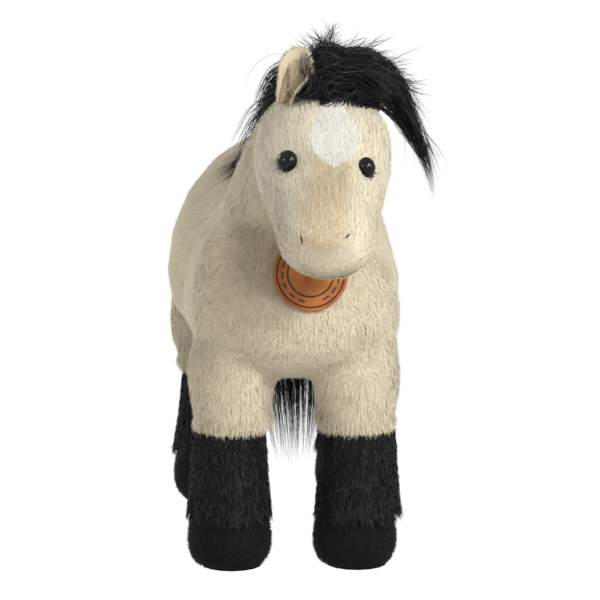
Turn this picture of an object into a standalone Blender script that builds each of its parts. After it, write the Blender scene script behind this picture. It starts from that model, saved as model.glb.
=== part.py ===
"""A standing plush toy horse: a stuffed body, neck, head and legs under sewn pile covers.

The horse faces -Y and stands on Z = 0, and +X is its left side. Lengths are in metres.
Each cover is a cloth shell round its own stuffing. The tail and the leather tag swing.
"""

import math

import bmesh
import bpy
from mathutils import Matrix, Vector

# Cloth, walls and clearances
PLUSH = 0.0022  # body cloth with the dense part of its pile
STOCKING_CLOTH = 0.0034  # black cloth round the shins
HOOF_CLOTH = 0.0016
SOLE_CLOTH = 0.0018
SEAM_GAP = 0.0004  # what two touching pieces keep between them
CUT_OVERRUN = 0.004  # how far a cutter runs past what it cuts

# The horse stands over the origin by the middle of its whole box, so its chest is off it
HORSE_PLACE = (-0.0075, 0.0265, 0.0)

# Torso, measured along its own back and across its widest stations
TORSO_REAR = 0.128
TORSO_FRONT = -0.133
TORSO_HALF_WIDTH = 0.0740
TORSO_RISE = 0.088  # spine above the torso's centre line at the croup
TORSO_DROP = 0.052  # belly below it
TORSO_CENTRE_HEIGHT = 0.152

# Neck, from inside the shoulders to inside the head
NECK_HALF_WIDTH = 0.058
NECK_CREST = 0.052
NECK_THROAT = 0.060
NECK_BASE = (0.0, -0.036, 0.160)
NECK_TOP = (0.0105, -0.104, 0.284)

# Head, in its own frame: it points along -Y there, and is turned and tilted as a whole
HEAD_PLACE = (0.0150, -0.1190, 0.2590)
HEAD_PITCH = 33.0
HEAD_ROLL = 6.0
HEAD_YAW = 4.0
HEAD_BACK = 0.036
HEAD_NOSE = -0.099
HEAD_HALF_WIDTH = 0.0425
HEAD_RISE = 0.040
HEAD_DROP = 0.045

# Ears: cupped leaves that stand on the poll, each with a lining
EAR_LENGTH = 0.0325
EAR_HALF_WIDTH = 0.0100
EAR_CUP = 0.0066
EAR_CLOTH = 0.0024
LINING_CLOTH = 0.0010
EAR_SPREAD = 0.0215  # from the head's middle
EAR_BACK = 0.0090
EAR_UP = 0.0270
LEFT_EAR_STAND = (-62.0, 56.0, -8.0)  # laid back and out under the forelock
RIGHT_EAR_STAND = (-30.0, -13.0, -30.0)  # upright on the tilted head, opening outward

# Eyes: glossy domes on a shank, held inside by a lock washer
EYE_RADIUS = 0.0074
EYE_DOME = 0.0052
EYE_SEAT = 0.0010  # sunk into the cloth
EYE_SHANK_RADIUS = 0.0020
EYE_SHANK_LENGTH = 0.0085
LEFT_EYE_OUTWARD = 42.0  # degrees from the forehead's middle
RIGHT_EYE_OUTWARD = 46.0  # sewn in a little lower than the left one
WASHER_RADIUS = 0.0058
WASHER_THICKNESS = 0.0014
WASHER_SINK = 0.0020  # below the cloth, whose inside curves away

# Face trim
STAR_HALF_WIDTH = 0.0145
STAR_LENGTH = 0.0440
STAR_DEPTH = 0.0070
STAR_OUTWARD = 3.0  # degrees from the forehead's middle
NOSTRIL_LENGTH = 0.0064
NOSTRIL_THREAD = 0.0006
NOSTRIL_OUTWARD = 50.0
NOSTRIL_FORWARD = 40.0  # degrees the ray that seats it leans to the nose

# Front legs
FRONT_STANCE = 0.0760  # between the two legs' centre lines
FRONT_LEG_BACK = -0.0960
FRONT_SHIN = 0.0237  # half width above the stocking
FRONT_STOCKING_TOP = 0.0870

# Hind legs
HIND_STANCE = 0.0900
HIND_LEG_BACK = 0.0885
HIND_SHIN = 0.0205
HIND_STOCKING_TOP = 0.0890

# What all four legs share
LEG_TOP = 0.172
HOOF_HEIGHT = 0.034  # from the floor to the foot's seam, under the feather
HOOF_HALF_WIDTH = 0.0270
HOOF_TOE = 0.0300
HOOF_HEEL = 0.0262
FEATHER_STAND = 0.0014  # how far the stocking's hem stands out past the hoof
FEATHER_LAP = 0.0030  # how far it hangs over the hoof
STOCKING_SEAM = 0.0016  # between its top edge and the leg cloth, hidden by the pile
FOOT_EASE = 0.0014  # room between a foot's wall and its stuffing

# Mane and forelock, bundles of long hair
MANE_HALF_WIDTH = 0.0400
MANE_STAND = 0.0150
MANE_SINK = 0.0300
FORELOCK_DEPTH = 0.0300
FORELOCK_HALF_HEIGHT = 0.0200

# Tail, a hank of long hair that swings on a sewn stub
TAIL_PIVOT = (0.0, 0.1270, 0.1940)
TAIL_ROOT = 0.0060  # radius of its round root, about the pivot
TAIL_LENGTH = 0.1850
TAIL_HALF_WIDTH = 0.0215
TAIL_HALF_DEPTH = 0.0115
TAIL_STUB_RADIUS = 0.0045
TAIL_EASE = 0.0006  # room between the stub and the root that turns behind it

# Leather tag on a thread loop under the chin
TAG_RADIUS = 0.0225
TAG_THICKNESS = 0.0020
TAG_EDGE = 0.0005
TAG_SIDE = 0.0085  # left of the middle
TAG_CHIN_GAP = 0.0061  # from the underside of the head to the tag's rim
TAG_LEAN = 10.0
TAG_STAND = 0.0022  # the pile holds it off the cloth
TAG_HOLE_RADIUS = 0.0018
TAG_HOLE_INSET = 0.0036  # from the rim to the hole's centre
LOOP_THREAD = 0.0005
LOOP_SLACK = 0.0010  # between the thread and what it passes

# Colours, linear
BUCKSKIN = (0.57, 0.49, 0.36)
TAN = (0.50, 0.38, 0.24)
STAR_WHITE = (0.87, 0.87, 0.84)
BLACK = (0.012, 0.011, 0.013)
STUFFING = (0.85, 0.85, 0.84)
LEATHER = (0.36, 0.15, 0.05)
WASHER_WHITE = (0.70, 0.70, 0.68)

# Resolution: cage points round a form, and facets round a turned piece
BODY_RING = 10
LEG_RING = 8
HAIR_RING = 8
SOLE_FACETS = 16
EYE_FACETS = 16
TAG_FACETS = 40
HOLE_FACETS = 12
STAR_FACETS = 28
THREAD_FACETS = 8
DOME_STEPS = 4
LOOP_STEPS = 8
EAR_GRID = 6
EDGE_ANGLE = 40.0  # degrees: sharper edges stay sharp

# Stations of each form, as shares of the sizes above.
# Torso: along from rear to front, half width, rise, drop, centre height
TORSO_SHARES = (
    (0.000, 0.34, 0.32, 0.46, 1.04),
    (0.040, 0.70, 0.66, 0.76, 1.02),
    (0.150, 0.99, 1.03, 1.00, 1.00),
    (0.300, 1.03, 1.06, 0.96, 1.00),
    (0.480, 0.97, 0.92, 0.94, 1.00),
    (0.660, 0.91, 0.86, 0.92, 1.02),
    (0.840, 0.92, 0.82, 0.88, 1.04),
    (0.955, 0.76, 0.68, 0.70, 1.06),
    (1.000, 0.38, 0.30, 0.34, 1.10),
)
# Neck: along, half width, crest, throat
NECK_SHARES = (
    (-0.12, 0.56, 0.56, 0.56),
    (0.00, 0.84, 0.88, 0.88),
    (0.28, 0.90, 1.00, 1.00),
    (0.52, 0.77, 0.90, 0.84),
    (0.76, 0.64, 0.72, 0.66),
    (0.94, 0.48, 0.44, 0.48),
    (1.04, 0.26, 0.20, 0.26),
)
# Head: along from the back to the nose, half width, rise, drop
HEAD_SHARES = (
    (0.000, 0.44, 0.44, 0.40),
    (0.075, 0.80, 0.80, 0.74),
    (0.240, 1.00, 1.00, 0.98),
    (0.420, 1.00, 0.97, 0.92),
    (0.600, 0.86, 0.80, 0.74),
    (0.770, 0.74, 0.66, 0.62),
    (0.910, 0.71, 0.62, 0.60),
    (0.980, 0.56, 0.46, 0.46),
    (1.000, 0.30, 0.24, 0.26),
)
# What sits on the face, from the head's centre towards the nose
EYE_FORWARD_SHARE = 0.43
STAR_FORWARD_SHARE = 0.26
NOSTRIL_FORWARD_SHARE = 0.80
# Thighs: height from the stocking's top to the leg's top, then half width, front, back, shift
# back and shift towards the horse's middle as shares of the shin
FRONT_THIGH_SHARES = (
    (1.00, 0.90, 1.00, 1.20, 0.30, 0.62),
    (0.68, 1.12, 1.16, 1.36, 0.16, 0.20),
    (0.36, 1.17, 1.14, 1.26, 0.06, 0.04),
    (0.00, 1.00, 1.00, 1.00, 0.00, 0.00),
)
HIND_THIGH_SHARES = (
    (1.00, 0.90, 1.60, 1.20, -0.30, 0.50),
    (0.68, 1.46, 1.80, 1.50, -0.26, 0.18),
    (0.36, 1.32, 1.50, 1.40, -0.08, 0.00),
    (0.12, 1.06, 1.10, 1.08, 0.00, 0.00),
    (0.00, 1.00, 1.00, 1.00, 0.00, 0.00),
)
# Shin inside the stocking: height from the floor to the stocking's top, and reach
SHIN_SHARES = ((0.72, 0.90),)
# Hoof wall: height of the hoof's, and reach of its half width, toe and heel
HOOF_SHARES = ((1.22, 0.80), (0.80, 0.93), (0.30, 1.01), (0.03, 0.79))
# Stocking: height from its hem to its top, and how much of the flare it has
STOCKING_SHARES = ((1.00, 0.00), (0.66, 0.10), (0.33, 0.45), (0.00, 1.00))
# Ear: its tip's width, and how much smaller its lining is
EAR_TIP_SHARE = 0.16
EAR_LINING_SHARE = 0.80
# Room for an ear under the hair: height, and reach of the ear's own width and depth
EAR_ROOM_SHARES = ((-0.20, 1.20), (0.30, 1.25), (0.70, 1.20), (1.02, 0.90), (1.14, 0.40))
# Star: how much wider it is at the top than at the foot
STAR_TAPER_SHARE = 0.20
# Mane, from the withers to the poll. Where it runs: along the neck's line, left of it as a share of
# the neck's half width, and off it as a share of the crest. Then half width, stand and sink.
MANE_PLACE_SHARES = (
    (0.23, -0.06, 1.53),
    (0.40, -0.09, 1.21),
    (0.60, -0.06, 1.01),
    (0.84, -0.01, 0.86),
    (1.03, 0.03, 0.66),
)
MANE_SHARES = (
    (0.70, 0.34, 0.60),
    (0.98, 0.80, 1.00),
    (0.92, 1.00, 0.95),
    (0.70, 0.95, 0.80),
    (0.42, 0.60, 0.50),
)
# Forelock: a comet of hair from the brow over the left ear and down beside the cheek. Where it
# runs: left, back and up from the head's place, as shares of its half width, length and rise.
FORELOCK_PLACE_SHARES = (
    (-0.38, -0.185, 0.78),
    (-0.12, -0.081, 1.02),
    (0.24, 0.044, 1.16),
    (0.66, 0.104, 1.00),
    (1.04, 0.126, 0.66),
    (1.31, 0.141, 0.24),
    (1.53, 0.156, -0.26),
    (1.65, 0.163, -0.80),
)
# Its depth, upper half height and lower half height
FORELOCK_SHARES = (
    (0.12, 0.12, 0.10),
    (0.56, 0.62, 0.60),
    (1.00, 0.98, 0.84),
    (1.00, 0.86, 0.84),
    (0.80, 0.64, 0.56),
    (0.60, 0.44, 0.42),
    (0.40, 0.30, 0.28),
    (0.12, 0.10, 0.10),
)
# Tail: down from the pivot, drift left, drift back (of the length), half width, half depth
TAIL_SHARES = (
    (0.04, 0.002, 0.014, 0.42, 0.58),
    (0.16, 0.008, 0.060, 0.74, 0.84),
    (0.36, 0.020, 0.094, 1.00, 1.00),
    (0.60, 0.036, 0.094, 1.00, 1.00),
    (0.82, 0.046, 0.086, 0.80, 0.84),
    (0.95, 0.050, 0.078, 0.50, 0.56),
    (1.00, 0.050, 0.074, 0.26, 0.30),
)


def start_scene():
    for old in list(bpy.data.objects):
        bpy.data.objects.remove(old, do_unlink=True)
    made = []
    for name in ("plush_horse", "cutters"):
        collection = bpy.data.collections.new(name)
        bpy.context.scene.collection.children.link(collection)
        made.append(collection)
    return made


PIECES, CUTTERS = start_scene()


def empty(name, place=(0, 0, 0), turn=None, parent=None):
    made = bpy.data.objects.new(name, None)
    PIECES.objects.link(made)
    made.parent = parent
    made.location = place
    if turn:
        made.rotation_euler = turn
    return made


def turning(pitch, roll, yaw):
    """Degrees about X, then Y, then Z."""
    turn = Matrix.Rotation(math.radians(yaw), 4, "Z")
    turn = turn @ Matrix.Rotation(math.radians(roll), 4, "Y")
    return turn @ Matrix.Rotation(math.radians(pitch), 4, "X")


HORSE = empty("horse", HORSE_PLACE)
HEAD_FRAME = Matrix.Translation(HEAD_PLACE) @ turning(HEAD_PITCH, HEAD_ROLL, HEAD_YAW)
HEAD = empty("head", HEAD_PLACE, HEAD_FRAME.to_euler(), HORSE)


def paint(obj, colour, roughness):
    material = bpy.data.materials.new(obj.name)
    material.use_nodes = True
    shader = material.node_tree.nodes["Principled BSDF"]
    shader.inputs["Base Color"].default_value = (*colour, 1.0)
    shader.inputs["Roughness"].default_value = roughness
    obj.data.materials.clear()
    obj.data.materials.append(material)


def piece(name, mesh, parent=HORSE, colour=BUCKSKIN, roughness=0.9):
    made = bpy.data.objects.new(name, mesh)
    PIECES.objects.link(made)
    made.parent = parent
    paint(made, colour, roughness)
    return made


def cutter(name, mesh, parent=HORSE):
    made = bpy.data.objects.new(name, mesh)
    CUTTERS.objects.link(made)
    made.parent = parent
    made.hide_render = True
    made.display_type = "WIRE"
    return made


def mesh_of(bm, name):
    mesh = bpy.data.meshes.new(name)
    bm.to_mesh(mesh)
    bm.free()
    mesh.shade_smooth()
    mesh.set_sharp_from_angle(angle=math.radians(EDGE_ANGLE))
    return mesh


def spread(low, high, share):
    return low + (high - low) * share


def loft(name, stations, across, ring, ends=True):
    """A cage through stations of (centre, half width, rise, drop). Rise is along tangent x across."""
    across = Vector(across)
    centres = [Vector(station[0]) for station in stations]
    fullness = math.cos(math.pi / ring)
    last = len(centres) - 1
    bm = bmesh.new()
    rings = []
    for i, (_, half_width, rise, drop) in enumerate(stations):
        tangent = centres[min(i + 1, last)] - centres[max(i - 1, 0)]
        upward = tangent.cross(across).normalized()
        side = upward.cross(tangent).normalized()
        loop = []
        for k in range(ring):
            angle = 2 * math.pi * k / ring
            up = math.sin(angle)
            reach = side * half_width * math.cos(angle) + upward * up * (rise if up > 0 else drop)
            loop.append(bm.verts.new(centres[i] + reach / fullness))
        rings.append(loop)
    for lower, upper in zip(rings, rings[1:]):
        for k in range(ring):
            after = (k + 1) % ring
            bm.faces.new((lower[k], lower[after], upper[after], upper[k]))
    if ends:
        bm.faces.new(rings[0][::-1])
        bm.faces.new(rings[-1])
    bmesh.ops.recalc_face_normals(bm, faces=bm.faces)
    bm.normal_update()
    middle = sum(centres, Vector()) / len(centres)
    if sum(face.normal.dot(face.calc_center_median() - middle) for face in bm.faces) < 0:
        bmesh.ops.reverse_faces(bm, faces=bm.faces)
    return mesh_of(bm, name)


def soften(obj):
    rounding = obj.modifiers.new("rounding", "SUBSURF")
    rounding.levels = 1
    rounding.render_levels = 1
    return obj


def swell(obj, distance):
    """Moves the whole surface out by the distance, or in where it is negative."""
    offset = obj.modifiers.new("offset", "DISPLACE")
    offset.mid_level = 0
    offset.strength = distance
    return obj


def wall(obj, thickness, offset=-1, even=True):
    cloth = obj.modifiers.new("cloth", "SOLIDIFY")
    cloth.thickness = thickness
    cloth.offset = offset
    cloth.use_even_offset = even
    return obj


def cut(obj, *tools, operation="DIFFERENCE"):
    for tool in tools:
        boolean = obj.modifiers.new(tool.name, "BOOLEAN")
        boolean.object = tool
        boolean.operation = operation
    return obj


def turned(name, profile, facets):
    """A profile of (radius, height) points, turned about Z."""
    bm = bmesh.new()
    points = [bm.verts.new((radius, 0, height)) for radius, height in profile]
    for start, end in zip(points, points[1:]):
        bm.edges.new((start, end))
    bmesh.ops.spin(
        bm,
        geom=bm.verts[:] + bm.edges[:],
        cent=(0, 0, 0),
        axis=(0, 0, 1),
        angle=2 * math.pi,
        steps=facets,
        use_merge=True,
    )
    bmesh.ops.remove_doubles(bm, verts=bm.verts, dist=SEAM_GAP / facets)
    bmesh.ops.recalc_face_normals(bm, faces=bm.faces)
    return mesh_of(bm, name)


def rod(name, radius, low, high, facets):
    return turned(name, ((0, high), (radius, high), (radius, low), (0, low)), facets)


def surface_hit(solid, start, direction):
    """Where a ray from inside the solid leaves it, in the solid's own frame, and the normal there."""
    bpy.context.view_layer.update()
    evaluated = solid.evaluated_get(bpy.context.evaluated_depsgraph_get())
    found, place, normal, _ = evaluated.ray_cast(Vector(start), Vector(direction).normalized())
    return (place, normal) if found else (Vector(start), Vector(direction).normalized())


def facing(place, normal, up=(0, 0, 1)):
    """A frame at the place whose Z is the normal and whose Y leans to up."""
    z = Vector(normal).normalized()
    x = Vector(up).cross(z).normalized()
    turn = Matrix((x, z.cross(x), z)).transposed().to_4x4()
    return Matrix.Translation(place) @ turn


# Torso
def torso_stations():
    made = []
    for along, width, rise, drop, height in TORSO_SHARES:
        centre = (0, spread(TORSO_REAR, TORSO_FRONT, along), TORSO_CENTRE_HEIGHT * height)
        made.append((centre, TORSO_HALF_WIDTH * width, TORSO_RISE * rise, TORSO_DROP * drop))
    return made


TORSO_CAGE = loft("torso_cage", torso_stations(), (1, 0, 0), BODY_RING)
torso_outside = swell(soften(cutter("torso_outside", TORSO_CAGE)), SEAM_GAP)
torso_inside = swell(soften(cutter("torso_inside", TORSO_CAGE)), -PLUSH)
torso_filling = piece("torso_filling", TORSO_CAGE.copy(), colour=STUFFING)
swell(soften(torso_filling), -PLUSH - SEAM_GAP)
torso_cover = wall(soften(piece("torso_cover", TORSO_CAGE.copy())), PLUSH)


# Head
def head_stations():
    made = []
    for along, width, rise, drop in HEAD_SHARES:
        centre = (0, spread(HEAD_BACK, HEAD_NOSE, along), 0)
        made.append((centre, HEAD_HALF_WIDTH * width, HEAD_RISE * rise, HEAD_DROP * drop))
    return made


HEAD_CAGE = loft("head_cage", head_stations(), (1, 0, 0), BODY_RING)
head_skin = soften(cutter("head_skin", HEAD_CAGE, HEAD))
head_outside = swell(soften(cutter("head_outside", HEAD_CAGE, HEAD)), SEAM_GAP)
head_inside = swell(soften(cutter("head_inside", HEAD_CAGE, HEAD)), -PLUSH)
head_filling = piece("head_filling", HEAD_CAGE.copy(), HEAD, STUFFING)
swell(soften(head_filling), -PLUSH - SEAM_GAP)
head_cover = wall(soften(piece("head_cover", HEAD_CAGE.copy(), HEAD)), PLUSH)


# Neck
def neck_stations():
    base = Vector(NECK_BASE)
    top = Vector(NECK_TOP)
    made = []
    for along, width, crest, throat in NECK_SHARES:
        sizes = (NECK_HALF_WIDTH * width, NECK_CREST * crest, NECK_THROAT * throat)
        made.append((base.lerp(top, along), *sizes))
    return made


NECK_CAGE = loft("neck_cage", neck_stations(), (1, 0, 0), LEG_RING)
neck_outside = swell(soften(cutter("neck_outside", NECK_CAGE)), SEAM_GAP)
neck_inside = swell(soften(cutter("neck_inside", NECK_CAGE)), -PLUSH)
neck_filling = piece("neck_filling", NECK_CAGE.copy(), colour=STUFFING)
swell(soften(neck_filling), -PLUSH - SEAM_GAP)
cut(neck_filling, torso_inside, head_inside)
neck_cover = wall(soften(piece("neck_cover", NECK_CAGE.copy())), PLUSH)
cut(neck_cover, torso_outside, head_outside)
cut(torso_cover, neck_inside)
cut(head_cover, neck_inside)


# Legs
def thigh_stations(shares, shin, x, y, stocking_top):
    made = []
    for rise, width, front, back, shift, inward in shares:
        across = x - math.copysign(shin * inward, x)
        centre = (across, y + shin * shift, spread(stocking_top, LEG_TOP, rise))
        made.append((centre, shin * width, shin * front, shin * back))
    return made


def shin_stations(shin, x, y, stocking_top):
    made = []
    for height, reach in SHIN_SHARES:
        made.append(((x, y, stocking_top * height), shin * reach, shin * reach, shin * reach))
    return made


def hoof_stations(x, y):
    made = []
    for height, reach in HOOF_SHARES:
        sizes = (HOOF_HALF_WIDTH * reach, HOOF_TOE * reach, HOOF_HEEL * reach)
        made.append(((x, y, HOOF_HEIGHT * height), *sizes))
    return made


def stocking_stations(shin, x, y, stocking_top):
    made = []
    hem = HOOF_HEIGHT - FEATHER_LAP
    for height, flare in STOCKING_SHARES:
        reach = spread(shin + STOCKING_CLOTH - PLUSH, HOOF_HALF_WIDTH + FEATHER_STAND, flare)
        toe = (HOOF_TOE - HOOF_HALF_WIDTH) * flare
        centre = (x, y, spread(hem, stocking_top - STOCKING_SEAM, height))
        made.append((centre, reach, reach + toe, reach))
    return made


def slimmer(stations, ease):
    return [(centre, width - ease, front - ease, back - ease) for centre, width, front, back in stations]


def make_sole(name, x, y):
    inset = HOOF_SHARES[-1][1]
    mesh = rod(name, 1, 0, SOLE_CLOTH, SOLE_FACETS)
    reach = HOOF_HALF_WIDTH * inset - HOOF_CLOTH - FOOT_EASE
    length = (HOOF_TOE + HOOF_HEEL) / 2 * inset - HOOF_CLOTH - FOOT_EASE
    mesh.transform(Matrix.Diagonal((reach, length, 1, 1)))
    sole = piece(name, mesh, colour=BLACK)
    sole.location = (x, y - (HOOF_TOE - HOOF_HEEL) / 2 * inset, 0)


def make_leg(leg, shares, shin, x, y, stocking_top):
    thigh = thigh_stations(shares, shin, x, y, stocking_top)
    hoof = hoof_stations(x, y)
    shins = shin_stations(shin, x, y, stocking_top)
    foot = slimmer(hoof, HOOF_CLOTH + FOOT_EASE)
    core = slimmer(thigh, PLUSH + SEAM_GAP * 2) + slimmer(shins, FOOT_EASE) + foot
    core_cage = loft(f"{leg}_core_cage", core, (1, 0, 0), LEG_RING)
    cut(torso_cover, soften(cutter(f"{leg}_leg_inside", core_cage)))

    under = rod(f"{leg}_sole_room", HOOF_TOE + CUT_OVERRUN, -CUT_OVERRUN, SOLE_CLOTH + SEAM_GAP, SOLE_FACETS)
    sole_room = cutter(f"{leg}_sole_room", under)
    sole_room.location = (x, y, 0)
    filling = piece(f"{leg}_leg_filling", core_cage.copy(), colour=STUFFING)
    cut(swell(soften(filling), -SEAM_GAP), torso_inside, sole_room)
    make_sole(f"{leg}_sole", x, y)

    cover = piece(f"{leg}_leg_cover", loft(f"{leg}_cover_cage", thigh, (1, 0, 0), LEG_RING, ends=False))
    cut(wall(soften(cover), PLUSH), torso_outside)

    stations = stocking_stations(shin, x, y, stocking_top)
    stocking_cage = loft(f"{leg}_stocking_cage", stations, (1, 0, 0), LEG_RING, ends=False)
    wall(soften(piece(f"{leg}_stocking", stocking_cage, colour=BLACK)), STOCKING_CLOTH)

    hoof_cage = loft(f"{leg}_hoof_cage", hoof, (1, 0, 0), LEG_RING, ends=False)
    wall(soften(piece(f"{leg}_hoof", hoof_cage, colour=BLACK)), HOOF_CLOTH)


for side, sign in (("left", 1), ("right", -1)):
    front = (FRONT_SHIN, sign * FRONT_STANCE / 2, FRONT_LEG_BACK, FRONT_STOCKING_TOP)
    make_leg(f"front_{side}", FRONT_THIGH_SHARES, *front)
    hind = (HIND_SHIN, sign * HIND_STANCE / 2, HIND_LEG_BACK, HIND_STOCKING_TOP)
    make_leg(f"hind_{side}", HIND_THIGH_SHARES, *hind)


# Face: every piece is seated where a ray from inside the head meets its skin
def head_seat(forward_share, outward, forward=0.0):
    """A frame on the head's skin. Outward is the angle from straight up, towards the left."""
    start = (0, HEAD_NOSE * forward_share, 0)
    angle = math.radians(outward)
    ray = Vector((math.sin(angle), -math.tan(math.radians(forward)), math.cos(angle)))
    place, normal = surface_hit(head_skin, start, ray)
    return facing(place, normal, (0, 1, 0))


def eye_profile(ease):
    inside = EYE_SEAT + EYE_SHANK_LENGTH + ease
    made = []
    for i in range(DOME_STEPS + 1):
        angle = math.pi / 2 * (1 - i / DOME_STEPS)
        height = (EYE_DOME + ease) * math.sin(angle) - EYE_SEAT
        made.append(((EYE_RADIUS + ease) * math.cos(angle), height))
    if ease:
        made.append((EYE_RADIUS + ease, -EYE_SEAT - ease))
    shank = EYE_SHANK_RADIUS + ease
    return (*made, (shank, -EYE_SEAT - ease), (shank, -inside), (0, -inside))


def make_eye(side, outward):
    seat = head_seat(EYE_FORWARD_SHARE, outward)
    eye_name = f"{side}_eye"
    eye = piece(eye_name, turned(eye_name, eye_profile(0), EYE_FACETS), HEAD, BLACK, 0.08)
    eye.matrix_local = seat
    room_mesh = turned(f"{side}_eye_room", eye_profile(SEAM_GAP), EYE_FACETS)
    eye_room = cutter(f"{side}_eye_room", room_mesh, HEAD)
    eye_room.matrix_local = seat

    top = -PLUSH - WASHER_SINK
    inner = EYE_SHANK_RADIUS + SEAM_GAP
    foot = top - WASHER_THICKNESS
    ring = ((inner, top), (WASHER_RADIUS, top), (WASHER_RADIUS, foot), (inner, foot), (inner, top))
    washer_name = f"{side}_eye_washer"
    washer = piece(washer_name, turned(washer_name, ring, EYE_FACETS), HEAD, WASHER_WHITE, 0.4)
    washer.matrix_local = seat
    depth = EYE_SEAT + EYE_SHANK_LENGTH + SEAM_GAP
    pocket = rod(f"{side}_washer_room", WASHER_RADIUS + SEAM_GAP, -depth, 0, EYE_FACETS)
    washer_room = cutter(f"{side}_washer_room", pocket, HEAD)
    washer_room.matrix_local = seat
    cut(head_cover, eye_room)
    cut(head_filling, washer_room)


def make_nostril(side, sign):
    seat = head_seat(NOSTRIL_FORWARD_SHARE, sign * NOSTRIL_OUTWARD, NOSTRIL_FORWARD)
    for ease in (0, SEAM_GAP):
        bm = bmesh.new()
        radius = NOSTRIL_THREAD + ease
        bmesh.ops.create_uvsphere(bm, u_segments=THREAD_FACETS, v_segments=THREAD_FACETS, radius=radius)
        bmesh.ops.scale(bm, vec=(1, (NOSTRIL_LENGTH / 2 + ease) / radius, 1), verts=bm.verts)
        if ease:
            room = cutter(f"{side}_nostril_room", mesh_of(bm, f"{side}_nostril_room"), HEAD)
            room.matrix_local = seat
            cut(head_cover, room)
        else:
            stitch = piece(f"{side}_nostril_stitch", mesh_of(bm, f"{side}_nostril_stitch"), HEAD, BLACK, 0.6)
            stitch.matrix_local = seat


def star_prism(name, ease):
    """A teardrop prism through the forehead's skin, wider at its upper end."""
    bm = bmesh.new()
    bmesh.ops.create_cone(bm, cap_ends=True, segments=STAR_FACETS, radius1=1, radius2=1, depth=STAR_DEPTH * 2)
    for vertex in bm.verts:
        x, y, z = vertex.co
        taper = 1 + STAR_TAPER_SHARE * y
        vertex.co = (x * (STAR_HALF_WIDTH + ease) * taper, y * (STAR_LENGTH / 2 + ease), z)
    made = cutter(name, mesh_of(bm, name), HEAD)
    made.matrix_local = head_seat(STAR_FORWARD_SHARE, STAR_OUTWARD)
    return made


make_eye("left", LEFT_EYE_OUTWARD)
make_nostril("left", 1)
make_eye("right", -RIGHT_EYE_OUTWARD)
make_nostril("right", -1)
cut(head_cover, star_prism("star_room", SEAM_GAP))
star = wall(soften(piece("forehead_star", HEAD_CAGE.copy(), HEAD, STAR_WHITE)), PLUSH)
cut(star, star_prism("star_outline", 0), operation="INTERSECT")


# Ears
def leaf(name, half_width, length):
    """A cupped leaf that stands along Z and opens towards -Y."""
    bm = bmesh.new()
    bmesh.ops.create_grid(bm, x_segments=EAR_GRID, y_segments=EAR_GRID, size=1)
    for vertex in bm.verts:
        height = math.sin(math.pi / 4 * (vertex.co.y + 1))
        width = half_width * spread(EAR_TIP_SHARE, 1, math.sqrt(max(0, 1 - height**3)))
        x = vertex.co.x * width
        vertex.co = (x, -EAR_CUP * (x / EAR_HALF_WIDTH) ** 2, length * height)
    bmesh.ops.recalc_face_normals(bm, faces=bm.faces)
    bm.normal_update()
    if sum(face.normal.y for face in bm.faces) > 0:
        bmesh.ops.reverse_faces(bm, faces=bm.faces)
    return mesh_of(bm, name)


def make_ear(side, spread_out, stand):
    place = Matrix.Translation((spread_out, EAR_BACK, EAR_UP)) @ turning(*stand)
    ear = piece(f"{side}_ear", leaf(f"{side}_ear", EAR_HALF_WIDTH, EAR_LENGTH), HEAD)
    lining_leaf = leaf(f"{side}_lining", EAR_HALF_WIDTH * EAR_LINING_SHARE, EAR_LENGTH * EAR_LINING_SHARE)
    lining = piece(f"{side}_ear_lining", lining_leaf, HEAD, TAN)
    ear.matrix_local = place
    lining.matrix_local = place
    wall(ear, EAR_CLOTH, 0, even=False)
    wall(swell(lining, EAR_CLOTH / 2 + SEAM_GAP), LINING_CLOTH, 1, even=False)
    cut(ear, head_outside)
    cut(lining, head_outside)
    stations = []
    for height, reach in EAR_ROOM_SHARES:
        width = (EAR_HALF_WIDTH + EAR_CLOTH) * reach
        back = (EAR_CLOTH + SEAM_GAP) * reach
        front = (EAR_CUP + EAR_CLOTH * 2 + LINING_CLOTH) * reach
        stations.append(((0, 0, EAR_LENGTH * height), width, back, front))
    room_cage = loft(f"{side}_ear_room", stations, (1, 0, 0), HAIR_RING)
    room = soften(cutter(f"{side}_ear_room", room_cage, HEAD))
    room.matrix_local = place
    return room


ear_rooms = [make_ear("left", EAR_SPREAD, LEFT_EAR_STAND), make_ear("right", -EAR_SPREAD, RIGHT_EAR_STAND)]


# Mane and forelock
def mane_stations():
    base = Vector(NECK_BASE)
    top = Vector(NECK_TOP)
    off_crest = (top - base).cross(Vector((1, 0, 0))).normalized()
    made = []
    for (along, left, off), (width, stand, sink) in zip(MANE_PLACE_SHARES, MANE_SHARES):
        place = base.lerp(top, along) + off_crest * NECK_CREST * off
        place.x += NECK_HALF_WIDTH * left
        made.append((place, MANE_HALF_WIDTH * width, MANE_STAND * stand, MANE_SINK * sink))
    return made


def forelock_stations():
    made = []
    for (left, back, up), (depth, upper, lower) in zip(FORELOCK_PLACE_SHARES, FORELOCK_SHARES):
        off = Vector((HEAD_HALF_WIDTH * left, (HEAD_BACK - HEAD_NOSE) * back, HEAD_RISE * up))
        heights = (FORELOCK_HALF_HEIGHT * upper, FORELOCK_HALF_HEIGHT * lower)
        made.append((Vector(HEAD_PLACE) + off, FORELOCK_DEPTH * depth, *heights))
    return made


MANE_CAGE = loft("mane_cage", mane_stations(), (1, 0, 0), HAIR_RING)
mane_outside = swell(soften(cutter("mane_outside", MANE_CAGE)), SEAM_GAP)
mane = soften(piece("mane", MANE_CAGE.copy(), colour=BLACK))
cut(mane, torso_outside, neck_outside, head_outside, *ear_rooms)
FORELOCK_CAGE = loft("forelock_cage", forelock_stations(), (0, 1, 0), HAIR_RING)
forelock = soften(piece("forelock", FORELOCK_CAGE, colour=BLACK))
cut(forelock, head_outside, neck_outside, mane_outside, *ear_rooms)


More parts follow.
